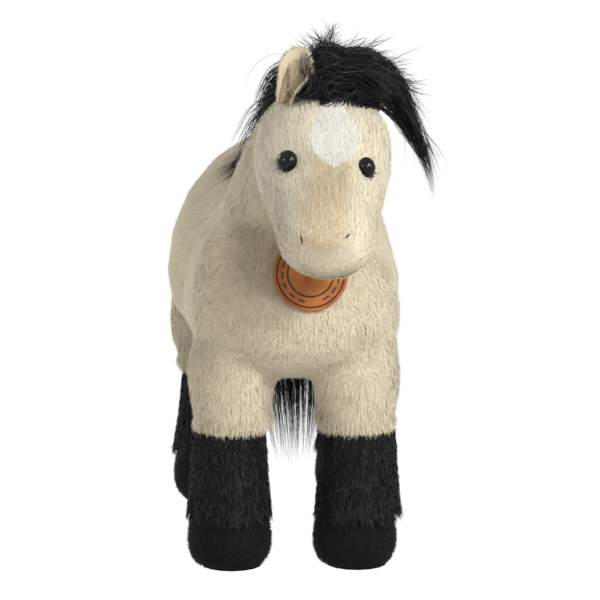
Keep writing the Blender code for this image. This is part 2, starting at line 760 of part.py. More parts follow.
# Tail: its round root turns about the pivot, behind a stub that turns about its own axis
def tail_stations():
    x, y, z = TAIL_PIVOT
    made = [
        ((x, y, z + TAIL_ROOT * 3 / 4), TAIL_ROOT / 2, TAIL_ROOT / 2, TAIL_ROOT / 2),
        ((x, y, z + TAIL_ROOT / 4), TAIL_ROOT * 7 / 8, TAIL_ROOT * 7 / 8, TAIL_ROOT * 7 / 8),
    ]
    for down, left, back, width, depth in TAIL_SHARES:
        centre = (x + TAIL_LENGTH * left, y + TAIL_LENGTH * back, z - TAIL_LENGTH * down)
        made.append((centre, TAIL_HALF_WIDTH * width, TAIL_HALF_DEPTH * depth, TAIL_HALF_DEPTH * depth))
    return made


tail = soften(piece("tail", loft("tail_cage", tail_stations(), (1, 0, 0), HAIR_RING), colour=BLACK))
rump, _ = surface_hit(torso_outside, (TAIL_PIVOT[0], 0, TAIL_PIVOT[2] - TAIL_STUB_RADIUS), (0, 1, 0))
root, _ = surface_hit(tail, TAIL_PIVOT, (0, -1, 0))
stub_length = root.y - TAIL_EASE - rump.y
stub = piece("tail_stub", rod("tail_stub", TAIL_STUB_RADIUS, 0, stub_length, EYE_FACETS), colour=BLACK)
stub.matrix_local = facing((TAIL_PIVOT[0], rump.y, TAIL_PIVOT[2]), (0, 1, 0))


# Leather tag and its thread loop
def front_at(x, z):
    """The foremost place of the chest and the neck at a height."""
    inside = (x, NECK_TOP[1] / 2, z)
    chest, _ = surface_hit(torso_outside, inside, (0, -1, 0))
    neck, _ = surface_hit(neck_outside, inside, (0, -1, 0))
    return chest if chest.y < neck.y else neck


def chin_height():
    """How high the underside of the head is, over the tag."""
    to_head = HEAD_FRAME.inverted()
    start = to_head @ Vector((TAG_SIDE, HEAD_PLACE[1], HEAD_PLACE[2]))
    chin, _ = surface_hit(head_outside, start, to_head.to_3x3() @ Vector((0, 0, -1)))
    return (HEAD_FRAME @ chin).z


def tag_place():
    """A frame with Z out of the tag and Y up it. Its back lies on the chest's pile."""
    lean = math.radians(TAG_LEAN)
    outward = Vector((0, -math.cos(lean), math.sin(lean)))
    height = chin_height() - TAG_CHIN_GAP - TAG_RADIUS * math.cos(lean)
    centre = Vector((TAG_SIDE, 0, height))
    backing = [front_at(TAG_SIDE, height + off).dot(outward) for off in (-TAG_RADIUS / 2, TAG_RADIUS / 2)]
    centre.y = (max(backing) + TAG_STAND - centre.dot(outward)) / outward.y
    return facing(centre, outward)


TAG = empty("tag_frame", parent=HORSE)
TAG_FRAME = tag_place()
TAG.matrix_local = TAG_FRAME
hole_up = TAG_RADIUS - TAG_HOLE_INSET
tag_profile = (
    (0, TAG_THICKNESS),
    (TAG_RADIUS - TAG_EDGE, TAG_THICKNESS),
    (TAG_RADIUS, TAG_THICKNESS - TAG_EDGE),
    (TAG_RADIUS, TAG_EDGE),
    (TAG_RADIUS - TAG_EDGE, 0),
    (0, 0),
)
tag = piece("tag_disc", turned("tag_disc", tag_profile, TAG_FACETS), TAG, LEATHER, 0.6)
hole = cutter("tag_hole", rod("tag_hole", TAG_HOLE_RADIUS, -CUT_OVERRUN, CUT_OVERRUN, HOLE_FACETS), TAG)
hole.location = (0, hole_up, 0)
cut(tag, hole)


def loop_points():
    """From the neck, over the tag's rim, down its face, and back through the hole."""
    over = TAG_RADIUS + LOOP_SLACK
    front = TAG_THICKNESS + LOOP_SLACK
    middle = (over + hole_up) / 2
    half = (over - hole_up) / 2
    made = []
    for i in range(LOOP_STEPS + 1):
        angle = math.pi * i / LOOP_STEPS
        reach = Vector((0, middle + half * math.cos(angle), front + half * math.sin(angle)))
        made.append(TAG_FRAME @ reach)
    return [front_at(made[0].x, made[0].z), *made, front_at(made[-1].x, made[-1].z)]


def tube(name, points, radius, colour):
    curve = bpy.data.curves.new(name, "CURVE")
    curve.dimensions = "3D"
    curve.bevel_depth = radius
    curve.bevel_resolution = 1
    curve.use_fill_caps = True
    spline = curve.splines.new("POLY")
    spline.points.add(len(points) - 1)
    for point, place in zip(spline.points, points):
        point.co = (*place, 1)
    return piece(name, curve, colour=colour)


tube("tag_loop", loop_points(), LOOP_THREAD, BLACK)
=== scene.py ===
# %% [markdown]
# # Dressing a plush horse
# The CAD model is loaded as a fixed frame, in metres, and every soft piece is grown over it: a
# stuffed skin first, then real blades of pile and strands of hair, each a thin piece of mesh.

import math

import bpy
import numpy as np
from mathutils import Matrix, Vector
from mathutils.bvhtree import BVHTree


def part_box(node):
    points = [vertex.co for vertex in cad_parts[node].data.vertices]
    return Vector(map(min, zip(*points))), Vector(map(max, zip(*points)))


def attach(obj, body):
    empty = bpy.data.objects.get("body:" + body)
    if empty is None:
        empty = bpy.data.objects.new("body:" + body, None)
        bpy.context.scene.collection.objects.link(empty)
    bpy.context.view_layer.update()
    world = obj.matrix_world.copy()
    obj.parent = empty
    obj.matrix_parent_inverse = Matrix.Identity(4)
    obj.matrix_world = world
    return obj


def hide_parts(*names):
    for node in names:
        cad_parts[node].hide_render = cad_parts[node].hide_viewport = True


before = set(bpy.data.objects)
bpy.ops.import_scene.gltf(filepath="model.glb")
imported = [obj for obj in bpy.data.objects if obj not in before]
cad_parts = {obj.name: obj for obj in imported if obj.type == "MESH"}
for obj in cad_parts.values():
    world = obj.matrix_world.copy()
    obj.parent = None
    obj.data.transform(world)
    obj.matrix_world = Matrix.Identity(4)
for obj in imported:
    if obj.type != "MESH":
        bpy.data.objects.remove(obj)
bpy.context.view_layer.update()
bpy.ops.object.select_all(action="DESELECT")
MM = 0.001
rng = np.random.default_rng

# %% [markdown]
# The photograph was taken almost from the front, a little above the toy and a little to its right,
# from far away. So the camera stands 2.9 m off with a long lens, aimed at the chest.

# %% Camera
CAMERA_TURN = math.radians(-2.5)
CAMERA_DROP = math.radians(10.6)
CAMERA_DISTANCE = 2.9
CAMERA_TARGET = Vector((-0.0040, -0.0735, 0.1636))
CAMERA_LENS = 288.84
sight = Vector((
    -math.sin(CAMERA_TURN) * math.cos(CAMERA_DROP),
    math.cos(CAMERA_TURN) * math.cos(CAMERA_DROP),
    -math.sin(CAMERA_DROP),
))
bpy.ops.object.camera_add(location=CAMERA_TARGET - sight * CAMERA_DISTANCE)
camera = bpy.context.object
camera.name = "camera"
camera.rotation_euler = sight.to_track_quat("-Z", "Y").to_euler()
camera.data.lens = CAMERA_LENS
bpy.context.scene.camera = camera
bpy.context.scene.view_settings.view_transform = "Standard"

# %% [markdown]
# A product photographer lights such a toy with big soft boxes and lets the paper behind it burn out
# to white. The lamps stay plain, and only what the camera sees of the paper is made white.

# %% Materials start as one plain shader
def feed(tree, node, sockets):
    """Gives each socket that is named a link or its own value."""
    for socket, value in sockets.items():
        if isinstance(value, bpy.types.NodeSocket):
            tree.links.new(value, node.inputs[socket])
        else:
            node.inputs[socket].default_value = value


def add_node(tree, kind, sockets=None, **settings):
    node = tree.nodes.new("ShaderNode" + kind)
    for key, value in settings.items():
        setattr(node, key, value)
    feed(tree, node, sockets or {})
    return node


def maths(tree, operation, *values):
    return add_node(tree, "Math", dict(enumerate(values)), operation=operation).outputs[0]


def set_shader(material, sockets):
    tree = material.node_tree
    feed(tree, tree.nodes["Principled BSDF"], sockets)


def new_material(name, colour, roughness, sheen=0.0):
    material = bpy.data.materials.new(name)
    material.use_nodes = True
    colour = (*colour, 1.0)
    set_shader(material, {"Base Color": colour, "Roughness": roughness})
    set_shader(material, {"Sheen Weight": sheen, "Sheen Roughness": 0.45})
    return material


def set_specular(level, *materials):
    for material in materials:
        set_shader(material, {"Specular IOR Level": level})


def is_direct_look(tree):
    """1 where the camera, a mirror or a glass looks straight at this surface."""
    path = add_node(tree, "LightPath").outputs
    either = maths(tree, "MAXIMUM", path["Is Camera Ray"], path["Is Glossy Ray"])
    return maths(tree, "MAXIMUM", either, path["Is Transmission Ray"])


def mix_to(tree, output, factor, first, second):
    mix = add_node(tree, "MixShader", {"Fac": factor, 1: first.outputs[0], 2: second.outputs[0]})
    feed(tree, tree.nodes[output], {"Surface": mix.outputs[0]})


# %% Floor, world and lamps
FLOOR_SIZE = 12.0
FLOOR_WHITE_SHARE = 0.92
FLOOR_GLOW = 1.08
AMBIENT = 0.05
WHITE = (1.0, 1.0, 1.0, 1.0)
bpy.ops.mesh.primitive_plane_add(size=FLOOR_SIZE, location=(0.0, 0.0, 0.0))
floor = bpy.context.object
floor.name = "paper_floor"
paper = new_material("white_paper", (0.90, 0.90, 0.90), 0.9)
tree = paper.node_tree
glow = add_node(tree, "Emission", {"Color": WHITE, "Strength": FLOOR_GLOW})
share = maths(tree, "MULTIPLY", is_direct_look(tree), FLOOR_WHITE_SHARE)
mix_to(tree, "Material Output", share, tree.nodes["Principled BSDF"], glow)
floor.data.materials.append(paper)

world = bpy.data.worlds.new("studio")
bpy.context.scene.world = world
world.use_nodes = True
tree = world.node_tree
ambient = tree.nodes["Background"]
feed(tree, ambient, {"Color": WHITE, "Strength": AMBIENT})
seen = add_node(tree, "Background", {"Color": WHITE, "Strength": 1.0})
mix_to(tree, "World Output", is_direct_look(tree), ambient, seen)

CHEST = Vector((0.0, -0.08, 0.18))
for name, place, size, power in (
    ("key_box", (1.1, -1.5, 1.4), 0.4, 33.0),
    ("side_box", (1.6, -1.1, 0.9), 0.4, 8.0),
    ("front_box", (0.6, -2.0, 1.0), 0.3, 12.0),
    ("fill_box", (-1.5, -1.3, 0.9), 0.6, 9.3),
    ("rim_box", (-1.4, 0.7, 0.8), 0.6, 9.0),
):
    bpy.ops.object.light_add(type="AREA", location=place)
    lamp = bpy.context.object
    lamp.name = name
    lamp.data.shape = "SQUARE"
    lamp.data.size = size
    lamp.data.energy = power
    lamp.rotation_euler = (CHEST - Vector(place)).to_track_quat("-Z", "Y").to_euler()

# %% [markdown]
# A plush toy is cut and sewn from cloth and stuffed tight, so its skin is one taut, rounded form.
# A voxel remesh welds the CAD covers and their stuffing into that one skin, smoothing rounds it, and
# it is drawn in a little so that the tips of the pile, not the cloth, end on the CAD surface.

# %% Helpers that work like the hand does: pick, join, modify, apply
def pick(*pieces):
    bpy.ops.object.select_all(action="DESELECT")
    for piece in pieces:
        piece.select_set(True)
    bpy.context.view_layer.objects.active = pieces[-1]


def set_mode(mode):
    bpy.ops.object.mode_set(mode=mode)


def copy_of_nodes(name, nodes):
    copies = []
    for node in nodes:
        copy = bpy.data.objects.new(name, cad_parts[node].data.copy())
        bpy.context.scene.collection.objects.link(copy)
        copies.append(copy)
    pick(*copies)
    if len(copies) > 1:
        bpy.ops.object.join()
    joined = bpy.context.object
    set_mode("EDIT")
    bpy.ops.mesh.select_all(action="SELECT")
    bpy.ops.mesh.remove_doubles(threshold=0.01 * MM)
    set_mode("OBJECT")
    joined.data.materials.clear()
    joined.name = name
    return joined


def modify(piece, kind, **settings):
    modifier = piece.modifiers.new(kind.lower(), kind)
    for key, value in settings.items():
        setattr(modifier, key, value)
    pick(piece)
    bpy.ops.object.modifier_apply(modifier=modifier.name)


def remeshed_skin(name, nodes, voxel, smooth_rounds, draw_in):
    skin = copy_of_nodes(name, nodes)
    modify(skin, "REMESH", mode="VOXEL", voxel_size=voxel)
    modify(skin, "SMOOTH", factor=0.5, iterations=smooth_rounds)
    modify(skin, "DISPLACE", strength=-draw_in, mid_level=0.0)
    bpy.ops.object.shade_smooth()
    return skin


def dress(piece, material, body="horse"):
    """Gives a piece its material and the body that it rides."""
    piece.data.materials.append(material)
    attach(piece, body)
    return piece


def refinish(node, material):
    """Gives a CAD node that stays as it is a material of the scene."""
    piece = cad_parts[node]
    piece.data.materials.clear()
    piece.data.materials.append(material)
    return piece


def ball(name, segments, radius, shape, axis, place):
    """A smooth ball, scaled by its shape, with its own Z along an axis."""
    bpy.ops.mesh.primitive_uv_sphere_add(
        segments=segments, ring_count=24, radius=radius, location=(0, 0, 0))
    made = bpy.context.object
    made.name = name
    made.scale = shape
    made.rotation_euler = Vector(axis).to_track_quat("Z", "Y").to_euler()
    made.location = place
    bpy.ops.object.transform_apply()
    bpy.ops.object.shade_smooth()
    return made


# %% One skin from all the sewn covers
LEGS = ("front_left", "front_right", "hind_left", "hind_right")
COAT_PANELS = {
    "torso_plush": ("torso_cover", "torso_filling"),
    "neck_plush": ("neck_cover", "neck_filling"),
    "head_plush": ("head_cover", "head_filling"),
}
for leg in LEGS:
    COAT_PANELS[leg + "_leg_plush"] = (leg + "_leg_cover", leg + "_leg_filling")
COAT_VOXEL = 3.0 * MM
COAT_SMOOTH_ROUNDS = 8
COAT_DRAW_IN = 2.0 * MM
COAT_NODES = sum(COAT_PANELS.values(), ())
coat = remeshed_skin("coat", COAT_NODES, COAT_VOXEL, COAT_SMOOTH_ROUNDS, COAT_DRAW_IN)

# %% The coat ends inside the stockings
LEG_CUT_HEIGHT = 72.0 * MM
HOOF_CUT_HEIGHT = 46.0 * MM


def cut_below(piece, height, keep_below=False):
    """Cuts a closed piece level and closes the cut."""
    pick(piece)
    set_mode("EDIT")
    bpy.ops.mesh.select_all(action="SELECT")
    bpy.ops.mesh.bisect(
        plane_co=(0.0, 0.0, height), plane_no=(0.0, 0.0, 1.0),
        use_fill=True, clear_inner=not keep_below, clear_outer=keep_below,
    )
    set_mode("OBJECT")


cut_below(coat, LEG_CUT_HEIGHT)


# %% Smooth falls and waves, for shaping and for the pile
def rows(items, key):
    """The same property of many vertices or triangles, as rows of numbers."""
    return np.array([getattr(item, key)[:] for item in items])


def unit(vectors):
    return vectors / np.maximum(np.linalg.norm(vectors, axis=-1, keepdims=True), 1e-12)


def fade(value, near, far):
    """1 at near or less, 0 at far or more, smooth between."""
    share = np.clip((far - value) / (far - near), 0, 1)
    return share * share * (3 - 2 * share)


def near_spot(places, spot, near, far):
    """1 within near of a spot, 0 beyond far."""
    return fade(np.linalg.norm(places - spot, axis=1), near, far)


def ripple(places, wavelength, seed):
    """Smooth noise from about -1 to 1: a sum of waves, in mm, in random directions."""
    chance = rng(seed)
    total = np.zeros(len(places))
    for _ in range(7):
        way = unit(chance.normal(size=3)) * 2 * math.pi / (wavelength * MM * chance.uniform(0.7, 1.4))
        total += np.sin(places @ way + chance.uniform(0, 2 * math.pi))
    return total / 3.0


# %% [markdown]
# Stuffing doesn't fill a cover evenly. It swells between the seams, and a stitch that goes through
# pulls the cloth in. A sculptor would press and pull the skin with a soft brush. Here each stroke is
# a place, a reach and a depth, so that it can be changed later.

# %% Sculpting: the stuffing swells between the seams
BODY_MIDDLE_X = -0.0060
BOTH, LEFT, RIGHT = 0, 1, -1
# All in mm: depth and height of the middle, reach in depth and in height, how far the side goes
# out, and which side
SIDE_SHAPING = (
    (-45, 168, 34, 40, -2.0, BOTH),
    (10, 170, 40, 75, -9.0, BOTH),
    (-70, 120, 40, 34, 2.6, BOTH),
    (75, 180, 70, 46, -5.4, LEFT),
    (-61, 146, 30, 24, 2.6, LEFT),
    (112, 108, 45, 40, 2.8, RIGHT),
)
# Strokes in and out along the skin's normal, in mm: the place, its reach and its depth
STROKES = (
    (26.5, -176.0, 215.0, 6.0, 2.0),
    (-42.0, -96.0, 129.0, 7.0, 2.4),
    (29.0, -96.0, 118.0, 9.0, 2.2),
    (37.0, -98.0, 164.0, 8.0, 1.2),
    (43.0, -94.4, 273.0, 24.0, -3.4),
    (47.0, -103.0, 252.0, 28.0, -1.6),
)
WAVE_HEIGHT = 0.5 * MM
spots = rows(coat.data.vertices, "co")
ups = rows(coat.data.vertices, "normal")
away = spots[:, 0] - BODY_MIDDLE_X
outer = np.sign(away) * (1 - fade(np.abs(away), 16 * MM, 42 * MM))
for *sizes, side in SIDE_SHAPING:
    depth, height, deep, tall, push = np.array(sizes) * MM
    near = fade(np.abs(spots[:, 1] - depth), 0, deep) * fade(np.abs(spots[:, 2] - height), 0, tall)
    spots[:, 0] += outer * near * push * (np.sign(away) * side >= 0)
for *place, reach, sink in np.array(STROKES) * MM:
    spots -= ups * (near_spot(spots, place, 0, reach) * sink)[:, None]
above_stockings = 1 - fade(spots[:, 2], 85 * MM, 105 * MM)
spots += ups * (ripple(spots, 34, 3) * above_stockings * WAVE_HEIGHT)[:, None]
for vertex, spot in zip(coat.data.vertices, spots):
    vertex.co = spot
coat.data.update()
modify(coat, "SMOOTH", factor=0.5, iterations=2)
print("the coat reaches", spots.min(axis=0).round(4), spots.max(axis=0).round(4))


# %% Geometry read back from a piece, as arrays
def tree_of(*nodes):
    """A search tree over CAD nodes, for the nearest place on them."""
    points, faces = [], []
    for node in nodes:
        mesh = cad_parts[node].data
        start = len(points)
        points += [v.co[:] for v in mesh.vertices]
        faces += [[start + i for i in face.vertices] for face in mesh.polygons]
    return BVHTree.FromPolygons(points, faces)


def triangles_of(piece):
    """Corners, smooth normals and areas of a piece's triangles."""
    mesh = piece.data
    mesh.calc_loop_triangles()
    corners = rows(mesh.loop_triangles, "vertices")
    points = rows(mesh.vertices, "co")[corners]
    normals = rows(mesh.vertices, "normal")[corners]
    a, b, c = points.transpose(1, 0, 2)
    areas = np.linalg.norm(np.cross(b - a, c - a), axis=1) / 2
    return points, normals, areas


def scatter(points, normals, areas, per_mm2, seed):
    """Roots spread evenly over triangles: their places and normals."""
    chance = rng(seed)
    count = int(areas.sum() / MM**2 * per_mm2)
    chosen = chance.choice(len(areas), count, p=areas / areas.sum())
    a, b = chance.random((2, count))
    fold = a + b > 1
    a[fold], b[fold] = 1 - a[fold], 1 - b[fold]
    shares = np.stack([1 - a - b, a, b], axis=1)[:, :, None]
    places = (points[chosen] * shares).sum(axis=1)
    return places, unit((normals[chosen] * shares).sum(axis=1))


# %% [markdown]
# Pile is thousands of short fibres. One blade is modelled by hand, as a plane with a cut across it,
# tapered to its tip, and then stamped at each root, leaning along the comb of the cloth. Its shading
# normals follow the skin, so that the coat shades as one soft surface, and its edge stays ragged.

# %% One blade, made by hand
def blade_template():
    bpy.ops.mesh.primitive_plane_add(size=1.0, location=(0.0, 0.5, 0.0))
    blade = bpy.context.object
    bpy.ops.object.transform_apply(location=True, rotation=False, scale=False)
    set_mode("EDIT")
    bpy.ops.mesh.select_all(action="DESELECT")
    bpy.ops.mesh.select_mode(type="VERT")
    set_mode("OBJECT")
    for vertex in blade.data.vertices:
        vertex.select = vertex.co.y > 0.5
    set_mode("EDIT")
    bpy.ops.transform.translate(value=(0.0, -0.5, 0.0))
    bpy.ops.transform.resize(value=(0.8, 1.0, 1.0))
    bpy.ops.mesh.extrude_region_move(TRANSFORM_OT_translate={"value": (0.0, 0.5, 0.0)})
    bpy.ops.mesh.merge(type="CENTER")
    set_mode("OBJECT")
    mesh = blade.data
    points = rows(mesh.vertices, "co")
    faces = [list(face.vertices) for face in mesh.polygons]
    bpy.data.objects.remove(blade)
    return points, faces


BLADE_POINTS, BLADE_FACES = blade_template()


# %% Stamp it at each root
def store(items, key, values, kind=np.float32):
    items.foreach_set(key, values.astype(kind).ravel())


def mesh_piece(name, points, faces_of_one, normals=None, marks=None, maps=None):
    """One mesh from many copies of a few faces. points is copies x points of one x 3."""
    copies, each = points.shape[:2]
    sizes = np.array([len(face) for face in faces_of_one])
    pattern = np.concatenate(faces_of_one)
    corners = (pattern[None] + np.arange(copies)[:, None] * each).ravel()
    starts = (np.cumsum(sizes) - sizes)[None] + np.arange(copies)[:, None] * sizes.sum()
    mesh = bpy.data.meshes.new(name)
    mesh.vertices.add(copies * each)
    store(mesh.vertices, "co", points)
    mesh.loops.add(len(corners))
    store(mesh.loops, "vertex_index", corners, np.int32)
    mesh.polygons.add(starts.size)
    store(mesh.polygons, "loop_start", starts, np.int32)
    mesh.update(calc_edges=True)
    store(mesh.polygons, "use_smooth", np.ones(starts.size), bool)
    for mark, values in (marks or {}).items():
        layer = mesh.attributes.new(mark, "FLOAT", "POINT")
        store(layer.data, "value", np.broadcast_to(values, (copies, each)))
    if maps is not None:
        layer = mesh.uv_layers.new(name="OFBake")
        store(layer.data, "uv", maps.reshape(-1, 2)[corners])
    if normals is not None:
        layer = mesh.attributes.new("custom_normal", "FLOAT_VECTOR", "POINT")
        store(layer.data, "vector", normals)
    mesh.validate(clean_customdata=False)
    piece = bpy.data.objects.new(name, mesh)
    bpy.context.scene.collection.objects.link(piece)
    return piece


def cell_map(copies, across, along):
    """Each blade's own cell in a square grid over the UV map."""
    grid = math.ceil(math.sqrt(copies))
    cell = np.stack(np.divmod(np.arange(copies), grid), axis=1)[:, None, :]
    inside = np.stack([0.5 + 0.8 * across, 0.1 + 0.8 * along], axis=-1)[None]
    return (cell + inside) / grid


CLUMP_PULL = 0.42
# Uneven steps, so that the middles of neighbouring clumps don't line up
CLUMP_JITTER = np.array([[12.9, 7.1, 3.3], [4.7, 9.3, 15.1], [8.8, 2.2, 6.4]])


def plant(name, places, normals, ways, length, width, lift, droop, tones, seed,
          material, body="horse", clump=0.0, turn=0.35, tint=None):
    """A blade at each place, leaning along its way, which is the comb of the cloth there."""
    chance = rng(seed)
    count = len(places)
    ways = unit(ways - (ways * normals).sum(1, keepdims=True) * normals)
    across = np.cross(ways, normals)
    swing = chance.normal(0, 0.16, count)[:, None]
    ways = unit(ways + across * swing)
    across = np.cross(ways, normals)
    roll = chance.normal(0, turn, count)[:, None]
    across = across * np.cos(roll) + normals * np.sin(roll)
    length = (length * chance.uniform(0.7, 1.15, count))[:, None, None]
    lift = np.radians(lift * chance.uniform(0.7, 1.3, count))[:, None, None]
    side = BLADE_POINTS[None, :, 0, None]
    along = BLADE_POINTS[None, :, 1, None]
    points = places[:, None] + across[:, None] * side * width
    points = points + ways[:, None] * length * along * np.cos(lift)
    points = points + normals[:, None] * length * (along * np.sin(lift) - droop * along**2)
    if clump:
        size = clump * 3.2
        cells = np.floor(places / size)
        middle = (cells + 0.5 + 0.28 * np.sin(cells @ CLUMP_JITTER)) * size
        pull = middle - places
        pull -= (pull * normals).sum(1, keepdims=True) * normals
        points = points + pull[:, None] * along**2 * CLUMP_PULL
    shading = np.broadcast_to(normals[:, None], points.shape)
    marks = {"along": BLADE_POINTS[None, :, 1], "tone": tones[:, None]}
    if tint is not None:
        marks["tint"] = tint[:, None]
    maps = cell_map(count, BLADE_POINTS[:, 0], BLADE_POINTS[:, 1])
    print(name, "has", count, "blades")
    piece = mesh_piece(name, points, BLADE_FACES, shading, marks, maps)
    return dress(piece, material, body)


# %% [markdown]
# The colour of pile changes along a fibre: painted shade darkens it at the root, where no light
# reaches, and it is pale at the tip. It also changes from tuft to tuft. One shader group does this
# for every pile and hair.

# %% The colour of pile, as a shader group
def new_group(name, inputs, outputs):
    """A node group with its sockets, and those sockets as seen from inside."""
    group = bpy.data.node_groups.new(name, "ShaderNodeTree")
    for socket, kind, value in inputs:
        made = group.interface.new_socket(name=socket, in_out="INPUT", socket_type="NodeSocket" + kind)
        made.default_value = value
    for socket, kind in outputs:
        group.interface.new_socket(name=socket, in_out="OUTPUT", socket_type="NodeSocket" + kind)
    given = group.nodes.new("NodeGroupInput")
    return group, given.outputs, group.nodes.new("NodeGroupOutput").inputs


def mixed(tree, factor, first, second):
    sockets = {"Factor": factor, "A": first, "B": second}
    return add_node(tree, "Mix", sockets, data_type="RGBA").outputs["Result"]


def scaled(tree, colour, gain):
    return add_node(tree, "VectorMath", {0: colour, "Scale": gain}, operation="SCALE").outputs["Vector"]


def object_noise(tree, scale, detail=2.0):
    where = add_node(tree, "TexCoord").outputs["Object"]
    sockets = {"Vector": where, "Scale": scale, "Detail": detail}
    return add_node(tree, "TexNoise", sockets).outputs["Fac"]


def pile_colour_group():
    group, given, result = new_group("pile_colour", (
        ("Root", "Color", (0.2, 0.2, 0.2, 1.0)),
        ("Tip", "Color", (0.8, 0.8, 0.8, 1.0)),
        ("Tint", "Color", (0.8, 0.8, 0.8, 1.0)),
        ("Tuft Contrast", "Float", 0.3),
    ), (("Color", "Color"),))
    along, tint, tone = (
        add_node(group, "Attribute", attribute_name=name).outputs["Fac"]
        for name in ("along", "tint", "tone")
    )
    body = mixed(group, tint, given["Tip"], given["Tint"])
    # Painted shade: each fibre darkens from its body colour towards its root colour.
    curve = add_node(group, "MapRange", {"From Max": 0.8, "To Min": 0.15, "Value": along})
    fibre = mixed(group, curve.outputs["Result"], given["Root"], body)
    both = maths(group, "MULTIPLY_ADD", object_noise(group, 45.0, 3.0), 0.35, tone)
    light = maths(group, "SUBTRACT", both, 0.675)
    gain = maths(group, "MULTIPLY_ADD", light, given["Tuft Contrast"], 1.0)
    group.links.new(scaled(group, fibre, gain), result["Color"])
    return group


PILE_COLOUR = pile_colour_group()


def pile_material(name, root, tip, tint=None, contrast=0.35, roughness=0.85, sheen=0.15):
    material = new_material(name, tip, roughness, sheen)
    sockets = {"Tuft Contrast": contrast}
    for socket, value in (("Root", root), ("Tip", tip), ("Tint", tint or tip)):
        sockets[socket] = (*value, 1.0)
    pile = add_node(material.node_tree, "Group", sockets, node_tree=PILE_COLOUR)
    set_shader(material, {"Base Color": pile.outputs["Color"]})
    return material


buckskin_pile = pile_material("buckskin_pile", (0.62, 0.53, 0.37), (0.82, 0.74, 0.55), contrast=0.22)
face_pile = pile_material(
    "face_pile", (0.72, 0.65, 0.50), (0.86, 0.80, 0.63), tint=(0.62, 0.49, 0.30), contrast=0.16)

# %% [markdown]
# Cloth, thread and moulded plastic have a fine grain of their own, which shows where the pile is
# thin. Two crossing waves make the over and under of yarn, and noise makes it uneven. This is a
# group too, with the yarn's size and strength as its inputs, and each material has its own values.

# %% Yarn and grain, as a shader group
def yarn_group():
    group, given, result = new_group("yarn", (
        ("Color", "Color", (0.5, 0.5, 0.5, 1.0)),
        ("Scale", "Float", 300.0),
        ("Variation", "Float", 0.3),
    ), (("Color", "Color"), ("Height", "Float")))
    where = add_node(group, "TexCoord").outputs["Object"]
    sockets = {"Distortion": 1.5, "Vector": where, "Scale": given["Scale"]}
    over, under = (
        add_node(group, "TexWave", sockets, bands_direction=way).outputs["Fac"] for way in "XZ")
    crossed = maths(group, "MULTIPLY", over, under)
    height = maths(group, "ADD", crossed, object_noise(group, given["Scale"], 4.0))
    light = maths(group, "SUBTRACT", height, 0.75)
    gain = maths(group, "MULTIPLY_ADD", light, given["Variation"], 1.0)
    group.links.new(scaled(group, given["Color"], gain), result["Color"])
    group.links.new(height, result["Height"])
    return group


YARN = yarn_group()


def relief(tree, height, strength, distance):
    sockets = {"Height": height, "Strength": strength, "Distance": distance}
    return add_node(tree, "Bump", sockets).outputs["Normal"]


def yarn_material(name, colour, roughness, scale, variation=0.3, bump=0.2, sheen=0.0):
    material = new_material(name, colour, roughness, sheen)
    tree = material.node_tree
    sockets = {"Color": (*colour, 1.0), "Scale": scale, "Variation": variation}
    yarn = add_node(tree, "Group", sockets, node_tree=YARN).outputs
    normal = relief(tree, yarn["Height"], bump, 0.2 * MM)
    set_shader(material, {"Base Color": yarn["Color"], "Normal": normal})
    return material


buckskin_cloth = yarn_material("buckskin_cloth", (0.70, 0.62, 0.46), 0.95, 320.0, sheen=0.1)
dress(coat, buckskin_cloth)
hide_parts(*COAT_NODES)

# %% Which panel each part of the skin belongs to
points, normals, areas = triangles_of(coat)
centres = points.mean(axis=1)
panel_names = list(COAT_PANELS)
panel_trees = [tree_of(COAT_PANELS[name][0]) for name in panel_names]
nearest = np.array([[tree.find_nearest(c)[3] for tree in panel_trees] for c in map(Vector, centres)])
panel_of = nearest.argmin(axis=1)

# %% The comb of the coat
NOSE = np.array([0.0065, -0.1620, 0.1700])


def comb_of(panel, places, normals):
    if panel == "head_plush":
        return unit(places - NOSE)
    x = places[:, 0] + 0.0040
    ways = np.zeros_like(places)
    if panel == "neck_plush":
        ways += (0.0, 0.25, -1.0)
        ways[:, 0] = x * 6
        return ways
    if panel == "torso_plush":
        front = np.clip((-0.045 - places[:, 1]) / 0.05, 0, 1)
        ways[:, 0] = front * x * 9
        ways[:, 1] = (1 - front) * 0.8
        ways[:, 2] = -1.0 * front - 0.55 * (1 - front)
        return ways
    ways += (0.0, 0.0, -1.0)
    return ways


# %% Where the coat is thin, short or tinted
HEAD_MIDDLE = np.array([0.0075, -0.0925, 0.2590])
EYE_DOME = 5.2 * MM
EYE_SHIFT = {"left": np.array([0.5, 0.0, 1.4]) * MM, "right": np.array([-2.0, 0.0, 2.9]) * MM}


def node_spots(node):
    return rows(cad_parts[node].data.vertices, "co")


def eye_frame(side):
    """The middle of an eye's dome, where the cloth holds it, and the way that it looks."""
    spots = node_spots(side + "_eye")
    depth = np.linalg.norm(spots - HEAD_MIDDLE, axis=1)
    shank_end = spots[depth < depth.min() + 0.6 * MM].mean(axis=0)
    apex = spots[np.linalg.norm(spots - shank_end, axis=1).argmax()]
    axis = unit(apex - shank_end)
    return apex - axis * EYE_DOME + EYE_SHIFT[side], axis


eye_frames = {side: eye_frame(side) for side in ("left", "right")}
NOSTRIL_SPOTS = [node_spots(side + "_nostril_stitch").mean(axis=0) for side in ("left", "right")]
FACE_TOP = np.array([0.0109, -0.1500, 0.2569])
FACE_LOW = np.array([0.0041, -0.1810, 0.2191])
SEAM_TUFTS = (np.array([-0.0420, -0.0940, 0.1297]), np.array([0.0310, -0.0940, 0.1187]))
